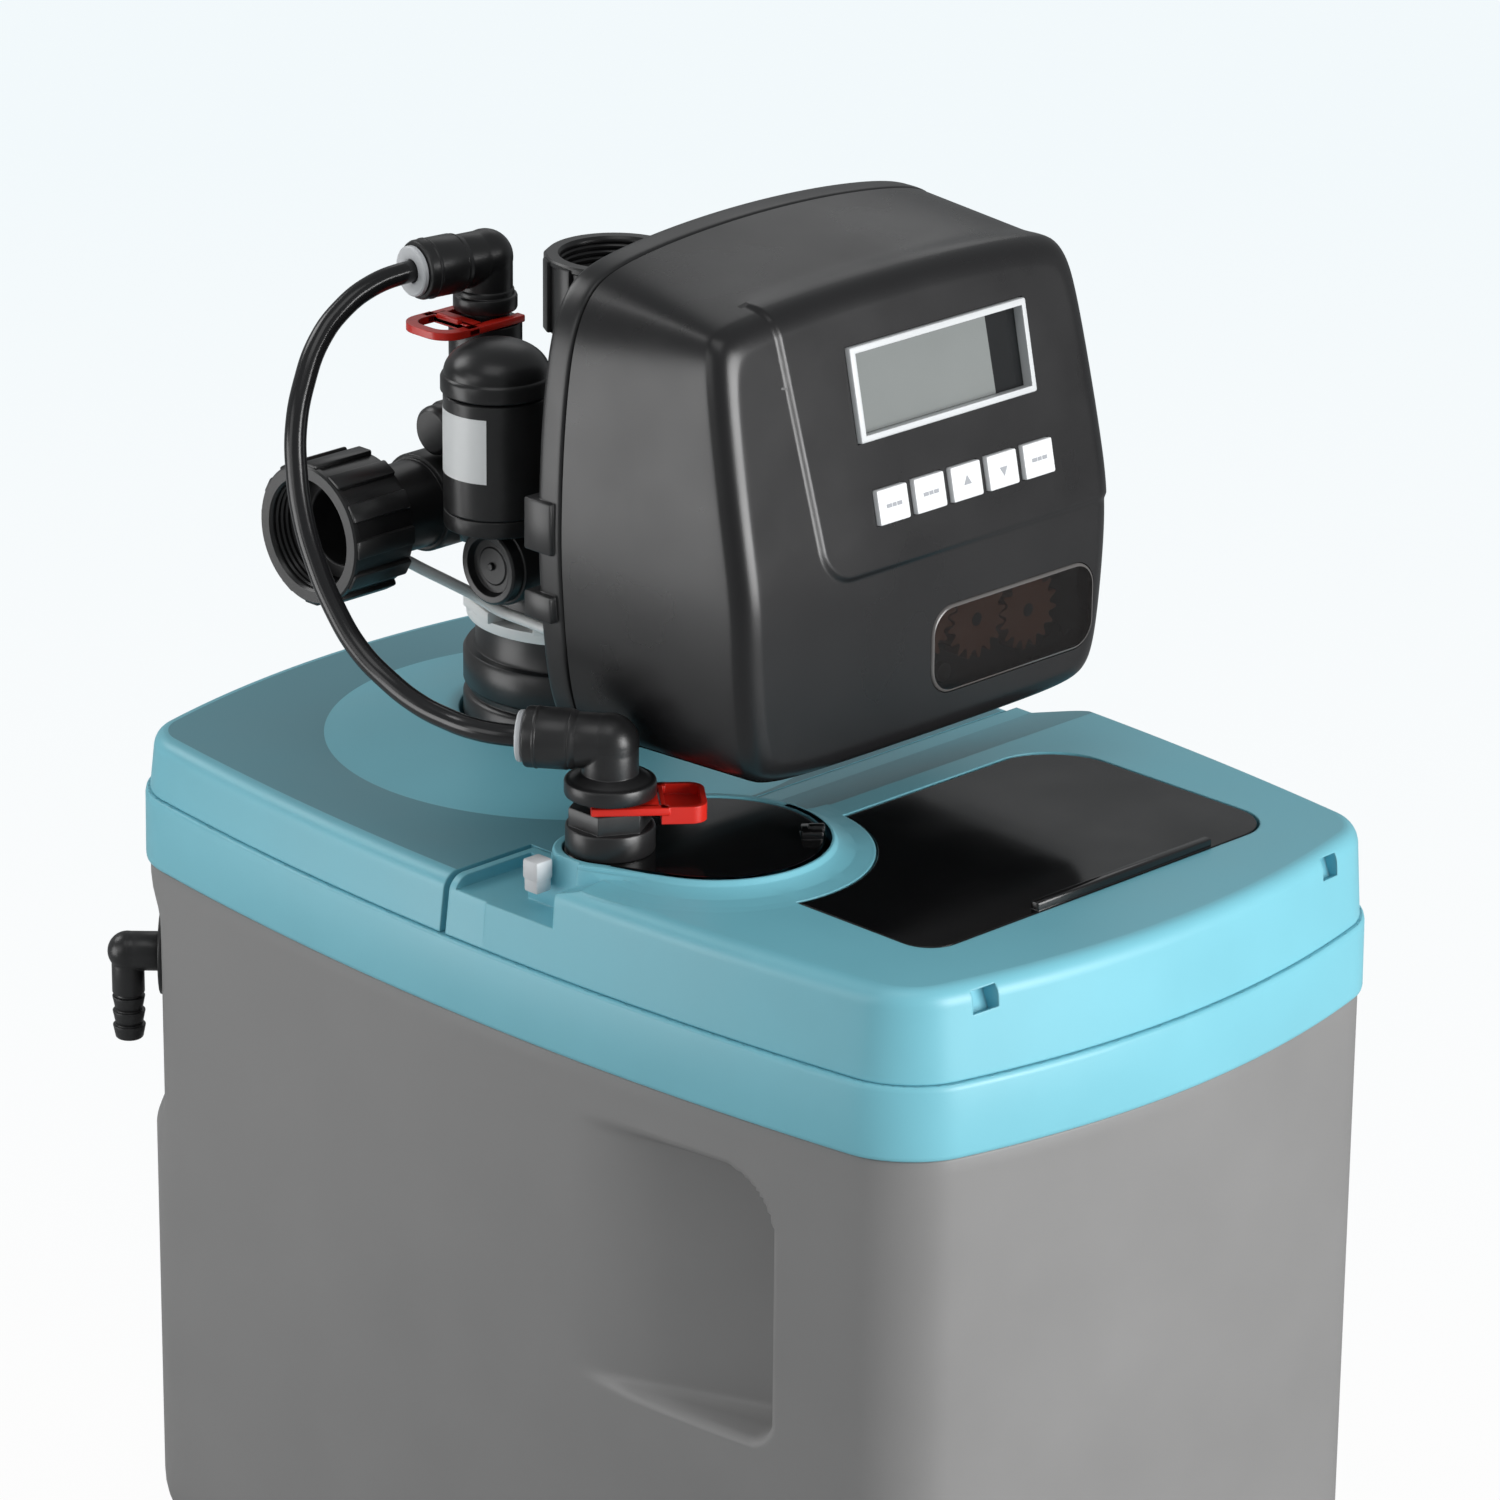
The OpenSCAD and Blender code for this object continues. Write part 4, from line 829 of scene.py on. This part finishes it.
# Tank collar and lock ring
# Black grooved collar that screws the valve to the tank neck, and above it the pale split ring that locks
# the valve body to the collar.
collar_low = 0.408
neck_bm = bmesh.new()
grooved = [
    (0.0325, collar_low), (0.0492, collar_low), (0.0505, collar_low + 0.0012), (0.0505, collar_low + 0.0105),
    (0.0495, collar_low + 0.0118), (0.0478, collar_low + 0.0125), (0.0478, collar_low + 0.0150),
    (0.0498, collar_low + 0.0160), (0.0505, collar_low + 0.0172), (0.0505, collar_low + 0.0305),
    (0.0492, collar_low + 0.0325), (0.0460, collar_low + 0.0330), (0.0450, collar_low + 0.0345),
    (0.0450, collar_low + 0.0465), (0.0325, collar_low + 0.0465), (0.0325, collar_low),
]
turned(neck_bm, grooved, Matrix.Translation(neck), sides=112)
place_piece("neck_collar", neck_bm, [black], "base", ["tank_collar"])
ring_white = plastic("ring_white", (0.90, 0.905, 0.90), 0.40, relief=0.05, wear=0.1)
ring_bm = bmesh.new()
turned(ring_bm, [(0.0402, 0.4552), (0.0486, 0.4552), (0.0490, 0.4558), (0.0490, 0.4602), (0.0402, 0.4602),
                 (0.0402, 0.4552)], Matrix.Translation(neck), sides=112)
for i in range(6):
    around = Matrix.Translation(neck) @ turn_by(60 * i + 40)
    brick(ring_bm, (0.0405, -0.0140, 0.4595), (0.0489, 0.0140, 0.4650), 0.0008, around)
place_piece("split_ring", ring_bm, [ring_white], "base", ["lock_ring"])


# Valve body
# Black reinforced body: a barrel for the piston from front to back, two ports at the back, the refill
# tower, the foot of the injector and a drain stub. Ribs stiffen the barrel.
barrel_z = 0.506
port_x = 0.0466
port_z = 0.5156
injector = Vector((-0.083, 0.067, 0))
plug_spot = Vector((-0.084, 0.066, barrel_z))
drain_spot = Vector((-0.064, 0.121, 0.550))
valve_bm = bmesh.new()
turned(valve_bm, [(0.0140, 0.432), (0.0318, 0.432), (0.0318, 0.4555), (0.0396, 0.4555), (0.0396, 0.4652),
                  (0.0432, 0.4652), (0.0440, 0.4660), (0.0440, 0.4890), (0.0425, 0.4915), (0.0140, 0.4915),
                  (0.0140, 0.432)], Matrix.Translation(neck), sides=96)
rod(valve_bm, (0, 0.0035, barrel_z), (0, 0.107, barrel_z), 0.0360, edge=0.0015, sides=80)
for y in (0.018, 0.040, 0.062, 0.084):
    rod(valve_bm, (0, y, barrel_z), (0, y + 0.003, barrel_z), 0.0385, edge=0.0008, sides=80)
for x in (-port_x, port_x):
    rod(valve_bm, (x, 0.091, port_z), (x, 0.108, port_z), 0.0230, edge=0.0010)
brick(valve_bm, (-port_x, 0.091, port_z - 0.016), (port_x, 0.104, port_z + 0.016), 0.0015)
post(valve_bm, injector, 0.5245, 0.5320, 0.0230, edge=0.0008)
brick(valve_bm, (-0.083, 0.055, 0.492), (0, 0.083, 0.530), 0.0020)
rod(valve_bm, plug_spot, plug_spot + Vector((0.064, 0, 0)), 0.0180, edge=0.0010)
post(valve_bm, refill, 0.540, 0.597, 0.0160, edge=0.0012)
post(valve_bm, refill, 0.596, 0.602, 0.0105)
post(valve_bm, refill, 0.574, 0.577, 0.0172, edge=0.0008)
brick(valve_bm, (-0.056, 0.080, 0.540), (0, 0.118, 0.552), 0.0015)
brick(valve_bm, (-0.030, 0.0035, 0.516), (0.030, 0.097, 0.550), 0.0020)
rod(valve_bm, drain_spot, drain_spot + Vector((0.018, 0, 0)), 0.0120, edge=0.0008)
for x in (-0.014, 0.014):
    brick(valve_bm, (x - 0.0015, 0.0035, 0.549), (x + 0.0015, 0.090, 0.554), 0.0006)
place_piece("valve_casting", valve_bm, [black], "base", ["valve_body"])


# Injector
# Upright black housing with a screwed dome on top and a bare white sticker on its left side; a round plug
# closes the injector bore below it.
dome_radius = 0.0228
dome_z = 0.5922
dome_rise = 0.0142
sticker_radius = 0.02315
sticker_from = math.radians(132)
sticker_span = math.radians(84)
sticker_low = 0.5490
sticker_high = 0.5775
housing_bm = bmesh.new()
turned(housing_bm, [(0, 0.5320), (0.0222, 0.5320), (0.0230, 0.5328), (0.0230, 0.5828), (0.0222, 0.5836),
                    (0.0200, 0.5838), (0.0200, 0.5880), (0, 0.5880)], Matrix.Translation(injector), sides=88)
place_piece("injector_tube", housing_bm, [black], "base", ["injector_housing"])
dome_bm = bmesh.new()
dome = [
    (0.0202, 0.5844), (0.0234, 0.5844), (0.0241, 0.5850), (0.0241, 0.5905), (0.0236, 0.5916),
    (dome_radius, dome_z),
]
for a in range(6, 91, 6):
    dome.append((dome_radius * math.cos(math.radians(a)), dome_z + dome_rise * math.sin(math.radians(a))))
turned(dome_bm, dome, Matrix.Translation(injector), sides=88)
place_piece("injector_dome", dome_bm, [black], "base", ["injector_cap"])

sticker_white = plastic("sticker_white", (0.90, 0.91, 0.91), 0.35, grain=500, relief=0.03, wear=0.0)
sticker_bm = bmesh.new()
start = sticker_radius * Vector((math.cos(sticker_from), math.sin(sticker_from), 0))
low = sticker_bm.verts.new(start + Vector((0, 0, sticker_low)))
high = sticker_bm.verts.new(start + Vector((0, 0, sticker_high)))
strip = sticker_bm.edges.new((low, high))
bmesh.ops.spin(sticker_bm, geom=[low, high, strip], cent=(0, 0, 0), axis=(0, 0, 1), angle=sticker_span,
               steps=28)
bmesh.ops.translate(sticker_bm, vec=injector, verts=sticker_bm.verts)
sticker = place_piece("bare_sticker", sticker_bm, [sticker_white], "base")
paper_thickness = sticker.modifiers.new("thickness", "SOLIDIFY")
paper_thickness.thickness = 0.0001

face_left = turn_by(-90, "Y")
plug_bm = bmesh.new()
plug_profile = [
    (0, 0.0045), (0.0014, 0.0045), (0.0017, 0.0040), (0.0017, 0.0030), (0.0080, 0.0030), (0.0085, 0.0024),
    (0.0118, 0.0024), (0.0122, 0.0040), (0.0128, 0.0058), (0.0155, 0.0060), (0.0165, 0.0050), (0.0165, 0),
    (0.0090, 0), (0.0090, -0.018), (0, -0.018),
]
turned(plug_bm, plug_profile, Matrix.Translation(plug_spot) @ face_left)
place_piece("injector_plug_cap", plug_bm, [black], "base", ["injector_plug"])
drain_bm = bmesh.new()
turned(drain_bm, [(0, 0.0080), (0.0090, 0.0080), (0.0106, 0.0066), (0.0110, 0.0050), (0.0110, 0), (0.0070, 0),
                  (0.0070, -0.012), (0, -0.012)], Matrix.Translation(drain_spot) @ face_left)
place_piece("drain_plug_cap", drain_bm, [black], "base", ["drain_plug"])


# Unions
# An elbow from each port ends in a flange, and a ribbed nut turns freely behind that flange. The outlet
# points to the left and holds the meter wheel; the inlet points up behind the control cover.
reach = 0.089
bend_y = 0.130
nut_black = plastic("nut_black", (0.105, 0.105, 0.108), 0.32, grain=1300, relief=0.08, wear=0.5)


def union_elbow(place):
    """Elbow made with its long leg along +Z and its port along -Y."""
    bm = bmesh.new()
    rod(bm, (0, -0.022, 0), (0, 0, 0), 0.0210)
    bmesh.ops.create_uvsphere(bm, u_segments=56, v_segments=28, radius=0.0219)
    rod(bm, (0, 0, 0), (0, 0, 0.026), 0.0219, edge=0.0012)
    flange_low = reach - 0.024
    flange_high = reach - 0.017
    pipe = [(0.0170, 0.010), (0.0195, 0.010), (0.0195, flange_low), (0.0232, flange_low),
            (0.0235, flange_low + 0.0004), (0.0235, flange_high - 0.0004), (0.0232, flange_high),
            (0.0176, flange_high), (0.0170, flange_high - 0.0006), (0.0170, 0.010)]
    turned(bm, pipe)
    bmesh.ops.transform(bm, matrix=place, verts=bm.verts)
    return bm


def union_nut(place):
    """Ribbed nut with a lip behind the flange and a threaded mouth."""
    bm = bmesh.new()
    back = reach - 0.036
    skin = [(0.0199, back), (0.0275, back), (0.0292, back + 0.0012), (0.0300, back + 0.004),
            (0.0300, reach - 0.0035), (0.0308, reach - 0.0028), (0.0308, reach - 0.0008), (0.0300, reach),
            (0.0252, reach), (0.0244, reach - 0.0010)]
    for k in range(5):
        z = reach - 0.0016 - 0.0028 * k
        skin += [(0.0240, z), (0.0240, z - 0.0010), (0.0247, z - 0.0017), (0.0247, z - 0.0020)]
    skin += [(0.0242, reach - 0.0165), (0.0242, reach - 0.0242), (0.0199, reach - 0.0242), (0.0199, back)]
    turned(bm, skin, sides=96)
    for i in range(12):
        brick(bm, (0.0285, -0.0042, back + 0.002), (0.0319, 0.0042, reach - 0.0012), 0.0010, turn_by(30 * i))
    bmesh.ops.transform(bm, matrix=place, verts=bm.verts)
    return bm


at_outlet = Matrix.Translation((-port_x, bend_y, port_z)) @ face_left
at_inlet = Matrix.Translation((port_x, bend_y, port_z))
for name, place in (("outlet", at_outlet), ("inlet", at_inlet)):
    place_piece(name + "_bend", union_elbow(place), [black], "base", [name + "_elbow"])
    place_piece(name + "_ribbed_nut", union_nut(place), [nut_black], name + "_nut", [name + "_nut"])


# Meter lead
# Pale sheathed lead of the flow meter. It starts at the outlet pipe, runs round the collar and goes in
# behind the back plate.
lead_route = [
    (-0.0900, 0.1188, 0.4966), (-0.0820, 0.1160, 0.4910), (-0.0700, 0.1110, 0.4830),
    (-0.0600, 0.1060, 0.4760), (-0.0540, 0.0970, 0.4700), (-0.0510, 0.0850, 0.4680),
    (-0.0500, 0.0600, 0.4670), (-0.0490, 0.0300, 0.4670), (-0.0490, 0.0030, 0.4670),
]
lead_line = round_line("meter_lead", lead_route, 0.0026, 4, 12)
lead = bpy.data.objects.new("meter_lead_strip", lead_line)
bpy.context.collection.objects.link(lead)
lead_line.materials.append(ring_white)
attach(lead, "base")
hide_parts("meter_lead")


# Control cover
# Black moulded hood over the drive. Its side walls taper to the front, the upper half of its face leans
# back, and a raised panel with a soft border carries the display and the buttons.
cover_low = 0.450
cover_height = 0.214
cover_half = 0.120
front_half = 0.111
face_y = -0.1123
lean_from = 0.538
lean_top = 0.652
face_lean = math.radians(12.2)
face_rise = 0.003
panel_height = 0.0011
panel_left = -0.0655
panel_left_z = 0.540
panel_left_lean = 0.0855
panel_low = 0.5345
panel_corner = 0.017
panel_slope = 0.0034
panel_gap = 0.0003
cover_shape = [
    (0, 0), (0.30, 0.0005), (0.60, 0.002), (0.80, 0.009), (0.885, 0.032), (0.925, 0.075),
    (0.960, 0.15), (0.985, 0.27), (1, 0.41), (0.997, 0.52), (0.984, 0.66), (0.957, 0.79),
    (0.920, 0.873), (0.847, 0.937), (0.73, 0.967), (0.40, 0.991), (0, 1),
]
face_shape = [
    (0, 0), (0.30, 0.0005), (0.60, 0.002), (0.82, 0.008), (0.905, 0.028), (0.945, 0.07),
    (0.970, 0.15), (0.99, 0.27), (1, 0.41), (0.998, 0.53), (0.988, 0.68), (0.974, 0.81),
    (0.958, 0.90), (0.930, 0.953), (0.865, 0.979), (0.45, 0.995), (0, 1),
]
display = (0.0165, 0.6093)
display_size = (0.106, 0.0405)
button_z = 0.562
button_size = (0.018, 0.015)
button_xs = [-0.023 + 0.022 * i for i in range(5)]
window_low = (-0.001, 0.472)
window_high = (0.099, 0.511)
window_corner = 0.012


def cover_points(shape, half, low, high):
    """Outline of the hood seen from the front, anticlockwise from the bottom middle."""
    right = [(x * half, low + z * (high - low)) for x, z in shape]
    return right + [(-x, z) for x, z in reversed(right[1:-1])]


def face_at(z):
    """How far forward the face of the hood is at a height."""
    return face_y + max(0, z - lean_from) * math.tan(face_lean)


def front_ring(inset, back):
    """Outline near the face, drawn in by inset and set back from the face."""
    outline = cover_points(face_shape, front_half - inset, cover_low + face_rise + inset, lean_top - inset)
    return [Vector((x, face_at(z) + back, z)) for x, z in outline]


def back_ring(inset, y):
    """Outline at the back of the hood."""
    high = cover_low + cover_height - inset
    outline = cover_points(cover_shape, cover_half - inset, cover_low + inset, high)
    return [Vector((x, y, z)) for x, z in outline]


def part_way(one, other, share):
    """Ring part of the way from one ring to another."""
    return [a.lerp(b, share) for a, b in zip(one, other)]


def smooth_shell(outline, wall=0.0):
    """Smooth shell through rings, its last ring closed in strips from side to side; wall makes it thick."""
    bm = bmesh.new()
    rings = [closed_ring(bm, points) for points in outline]
    for one, other in zip(rings, rings[1:]):
        bmesh.ops.bridge_loops(bm, edges=one + other)
    bm.verts.ensure_lookup_table()
    count = len(outline[0])
    last = bm.verts[-count:]
    bm.faces.new((last[0], last[1], last[-1]))
    for i in range(1, count // 2 - 1):
        bm.faces.new((last[i], last[i + 1], last[-i - 1], last[-i]))
    bm.faces.new((last[count // 2 - 1], last[count // 2], last[count // 2 + 1]))
    bmesh.ops.recalc_face_normals(bm, faces=bm.faces)
    mesh = bpy.data.meshes.new("stock")
    bm.to_mesh(mesh)
    bm.free()
    stock = bpy.data.objects.new("stock", mesh)
    bpy.context.collection.objects.link(stock)
    rounding = stock.modifiers.new("rounding", "SUBSURF")
    rounding.levels = 3
    rounding.render_levels = 3
    if wall:
        thick = stock.modifiers.new("wall", "SOLIDIFY")
        thick.thickness = wall
        thick.offset = -1
    bpy.context.view_layer.update()
    result = bmesh.new()
    result.from_object(stock, bpy.context.evaluated_depsgraph_get())
    bpy.data.objects.remove(stock)
    bpy.data.meshes.remove(mesh)
    return result


def panel_inside(x, z):
    """Distance inside the border of the raised panel, which runs down the left and under the buttons."""
    across = x - panel_left + panel_left_lean * (z - panel_left_z)
    above = z - panel_low
    inside = min(across, above)
    if across < panel_corner and above < panel_corner:
        inside = panel_corner - math.hypot(panel_corner - across, panel_corner - above)
    return inside


def on_panel(x, z):
    """Frame of the leaning face: -Y points out of it."""
    return Matrix.Translation((x, face_at(z), z)) @ Matrix.Rotation(-face_lean, 4, "X")


def centred(size, front, back, grow=0.0):
    """Corners of a block in the middle of a frame on the face, between two depths."""
    x = size[0] / 2 + grow
    z = size[1] / 2 + grow
    return (-x, front, -z), (x, back, z)


def rounded_window(grow, front, back):
    """Solid with the rounded outline of the gear window, between two depths."""
    bm = bmesh.new()
    x0, z0 = (v - grow for v in window_low)
    x1, z1 = (v + grow for v in window_high)
    corners = [bm.verts.new((x, back, z)) for x, z in ((x0, z0), (x1, z0), (x1, z1), (x0, z1))]
    bm.faces.new(corners)
    round_off(bm, corners, "VERTICES", window_corner + grow, 10)
    pull(bm, (0, front - back, 0))
    return bm


rear_edge = back_ring(0, -0.012)
side_edge = front_ring(-0.0005, 0.0085)
hood_rings = [
    rear_edge, part_way(rear_edge, side_edge, 0.015), part_way(rear_edge, side_edge, 0.5),
    part_way(rear_edge, side_edge, 0.985), side_edge, front_ring(0.0018, 0.0020), front_ring(0.0080, 0),
    front_ring(0.0095, 0), front_ring(0.0300, 0),
]
hood_bm = smooth_shell(hood_rings, wall=0.003)
for longest, band in ((0.0032, 1), (0.0032, 1), (0.0032, 1), (0, 0.009), (0, 0.006)):
    coarse = [e for e in hood_bm.edges if e.calc_length() > longest
              and all(v.co.y < face_at(v.co.z) + 0.016 for v in e.verts)
              and any(abs(panel_inside(v.co.x, v.co.z) - panel_slope / 2) < band for v in e.verts)]
    if coarse:
        bmesh.ops.subdivide_edges(hood_bm, edges=coarse, cuts=1, use_grid_fill=True)
hood_bm.normal_update()
hood_middle = Vector((0, -0.05, 0.56))
raised = {}
for vert in hood_bm.verts:
    x, y, z = vert.co
    near = smooth_step((face_at(z) + 0.022 - y) / 0.012)
    outwards = vert.normal if vert.normal.dot(vert.co - hood_middle) > 0 else -vert.normal
    raised[vert] = vert.co + outwards * panel_height * smooth_step(panel_inside(x, z) / panel_slope) * near
for vert, spot in raised.items():
    vert.co = spot
hood_bm = cut_brick(hood_bm, *centred(display_size, -0.02, 0.02, panel_gap), on_panel(*display))
for x in button_xs:
    hood_bm = cut_brick(hood_bm, *centred(button_size, -0.02, 0.02, panel_gap), on_panel(x, button_z))
hood_bm = carve(hood_bm, rounded_window(panel_gap, -0.14, -0.095))
hood_black = plastic("hood_black", (0.098, 0.096, 0.100), 0.29, grain=1900, wear=0.08)
hood_underside_painted_shade = plastic("hood_underside_painted_shade", (0.030, 0.030, 0.031), 0.75, grain=1900, wear=0.08, gleam=0.12)
hood_bm.normal_update()
# Faces that look downwards take a darker, duller black: painted shade under the hood.
for face in hood_bm.faces:
    face.material_index = 1 if face.normal.z < -0.75 else 0
place_piece("hood", hood_bm, [hood_black, hood_underside_painted_shade], "base", ["control_cover"], sharp=50)


# Back plate
# Black plate that closes the hood at the back and is screwed to the valve. Two snap clips stand on its
# left rim.
plate_rings = [
    back_ring(0.0014, -0.0114), back_ring(0.0002, -0.0110), back_ring(-0.0006, -0.0100),
    back_ring(-0.0006, -0.004), back_ring(-0.0006, 0.0012), back_ring(0.0004, 0.0024),
    back_ring(0.0024, 0.0030), back_ring(0.0200, 0.0030),
]
plate_bm = smooth_shell(plate_rings)
for low, high in ((0.507, 0.519), (0.537, 0.560)):
    brick(plate_bm, (-0.1225, -0.0080, low), (-0.108, 0.0085, high), 0.0012)
place_piece("hood_back", plate_bm, [black], "base", ["back_plate"])


# Display
# Pale frame snapped into the panel, with the liquid crystal glass set back in it. The right end of the glass
# is darker: painted shade.
glass_size = (0.100, 0.0346)
painted_shade_edge = 0.0325
frame_bm = bmesh.new()
brick(frame_bm, *centred(display_size, -0.0036, 0.0030), 0.0011)
frame_bm = cut_brick(frame_bm, *centred(glass_size, -0.01, 0.01))
bmesh.ops.transform(frame_bm, matrix=on_panel(*display), verts=frame_bm.verts)
frame_grey = plastic("frame_grey", (0.80, 0.81, 0.815), 0.35, relief=0.04, wear=0.1, soft=0.0006)
place_piece("display_frame", frame_bm, [frame_grey], "base", ["display_bezel"])

glass_grey = plastic("lcd_grey", (0.50, 0.515, 0.51), 0.18, grain=300, relief=0.0, wear=0.0)
glass_painted_shade = plastic("lcd_painted_shade", (0.10, 0.105, 0.11), 0.18, grain=300, relief=0.0, wear=0.0)
lcd_bm = bmesh.new()
brick(lcd_bm, *centred(glass_size, 0.0014, 0.0040, -0.0002))
whole = lcd_bm.verts[:] + lcd_bm.edges[:] + lcd_bm.faces[:]
bmesh.ops.bisect_plane(lcd_bm, geom=whole, plane_co=(painted_shade_edge, 0, 0), plane_no=(1, 0, 0.02))
# Faces right of the cut take the dark grey: painted shade on the right end of the glass.
for face in lcd_bm.faces:
    face.material_index = 1 if face.calc_center_median().x > painted_shade_edge else 0
bmesh.ops.transform(lcd_bm, matrix=on_panel(*display), verts=lcd_bm.verts)
place_piece("display_glass", lcd_bm, [glass_grey, glass_painted_shade], "base", ["display_panel"])


# Buttons
# Five white keys in a row under the display, each pressed in against a switch. Plain marks are printed on
# them: an arrow up, an arrow down, and short bars.
key_front = -0.0035
key_marks = ("bar", "bar", "up", "down", "bar")
key_white = plastic("key_white", (0.90, 0.905, 0.91), 0.38, relief=0.04, wear=0.1)
key_print = plastic("key_print", (0.62, 0.63, 0.65), 0.5, relief=0.0, wear=0.0)


def key_mark(bm, kind):
    """Printed mark on the front of a key, 0.15 mm thick."""
    before = set(bm.faces)
    if kind == "bar":
        for x0, x1 in ((-0.0045, -0.0015), (-0.0010, 0.0012), (0.0018, 0.0045)):
            brick(bm, (x0, -0.00365, -0.0008), (x1, key_front, 0.0008))
    else:
        way = turn_by(0 if kind == "up" else 180, "Y")
        bmesh.ops.create_cone(bm, cap_ends=True, segments=3, radius1=0.0026, radius2=0.0026, depth=0.00015,
                              matrix=Matrix.Translation((0, -0.00358, 0)) @ way @ turn_by(90, "X"))
    for face in bm.faces:
        if face not in before:
            face.material_index = 1


for i, x in enumerate(button_xs):
    key_bm = bmesh.new()
    brick(key_bm, *centred(button_size, key_front, 0.0050), 0.0009)
    key_mark(key_bm, key_marks[i])
    bmesh.ops.transform(key_bm, matrix=on_panel(x, button_z), verts=key_bm.verts)
    name = "button_%d" % (i + 1)
    place_piece("key_%d" % (i + 1), key_bm, [key_white, key_print], name, [name])


# Gear window
# Smoked clear plate with rounded corners that shows the drive gears. Its rim stands a little proud of
# the face, and its rounded edge is pale grey: a painted highlight.
smoked = plastic("smoked_clear", (0.06, 0.045, 0.040), 0.08, grain=300, relief=0.0, wear=0.0)
smoked.node_tree.nodes["Principled BSDF"].inputs["Alpha"].default_value = 0.55
window_rim_painted_highlight = plastic("window_rim_painted_highlight", (0.36, 0.35, 0.345), 0.22, grain=600, relief=0.03, wear=0.2)
window_bm = rounded_window(0, face_y - 0.0008, face_y + 0.0030)
rim = [e for e in window_bm.edges if all(v.co.y < face_y for v in e.verts)]
made = round_off(window_bm, rim, "EDGES", 0.0013, 3)
# The rounded rim faces take the pale grey: a painted highlight along the edge of the plate.
for face in made["faces"]:
    face.material_index = 1
place_piece("window_plate", window_bm, [smoked, window_rim_painted_highlight], "base", ["gear_window"])


# Drive
# Brown acetal gears on the moulded bracket behind the window, a nylon pinion on the motor, steel screws and
# the circuit board behind the display. They keep the shapes of the construction.
steel = plastic("bright_steel", (0.72, 0.72, 0.72), 0.28, grain=800, relief=0.05, wear=0.2, metal=1.0,
                soft=0.0004)


def dress(finishes):
    """Gives nodes of the construction their finish."""
    for finish, names in finishes.items():
        for node_name in names:
            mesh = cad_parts[node_name].data
            mesh.materials.clear()
            mesh.materials.append(finish)


dress({
    plastic("gear_brown", (0.62, 0.40, 0.29), 0.40, relief=0.05, soft=0.0003): [
        "main_gear", "reduction_gear_a", "reduction_gear_b"],
    plastic("pinion_nylon", (0.84, 0.82, 0.76), 0.45, relief=0.05, soft=0.0003): ["motor_pinion"],
    plastic("bracket_black", (0.17, 0.17, 0.175), 0.5, soft=0.0005): ["drive_bracket"],
    plastic("board_green", (0.16, 0.36, 0.24), 0.4, grain=500): ["pc_board"],
    steel: ["bracket_screws", "drive_motor", "hatch_pin", "piston"],
})


# Inside the cabinet
# Wound glass-fibre tank with its riser and basket, the white brine well with its valve and float, and the
# seals and meter wheel inside the valve. They keep the shapes of the construction.
dress({
    plastic("tank_fibre", (0.36, 0.42, 0.47), 0.45, grain=300, relief=0.3, wear=0.1): ["mineral_tank"],
    plastic("inner_white", (0.86, 0.87, 0.875), 0.42, relief=0.06, soft=0.0006): [
        "riser_tube", "lower_basket", "brine_well", "brine_valve", "brine_float"],
    plastic("seal_rubber", (0.20, 0.21, 0.22), 0.6, relief=0.1): ["seal_stack"],
    plastic("wheel_grey", (0.34, 0.34, 0.35), 0.4, relief=0.04): ["meter_turbine"],
    plastic("inner_black", (0.15, 0.15, 0.153), 0.4, soft=0.0006): ["overflow_nut"],
})
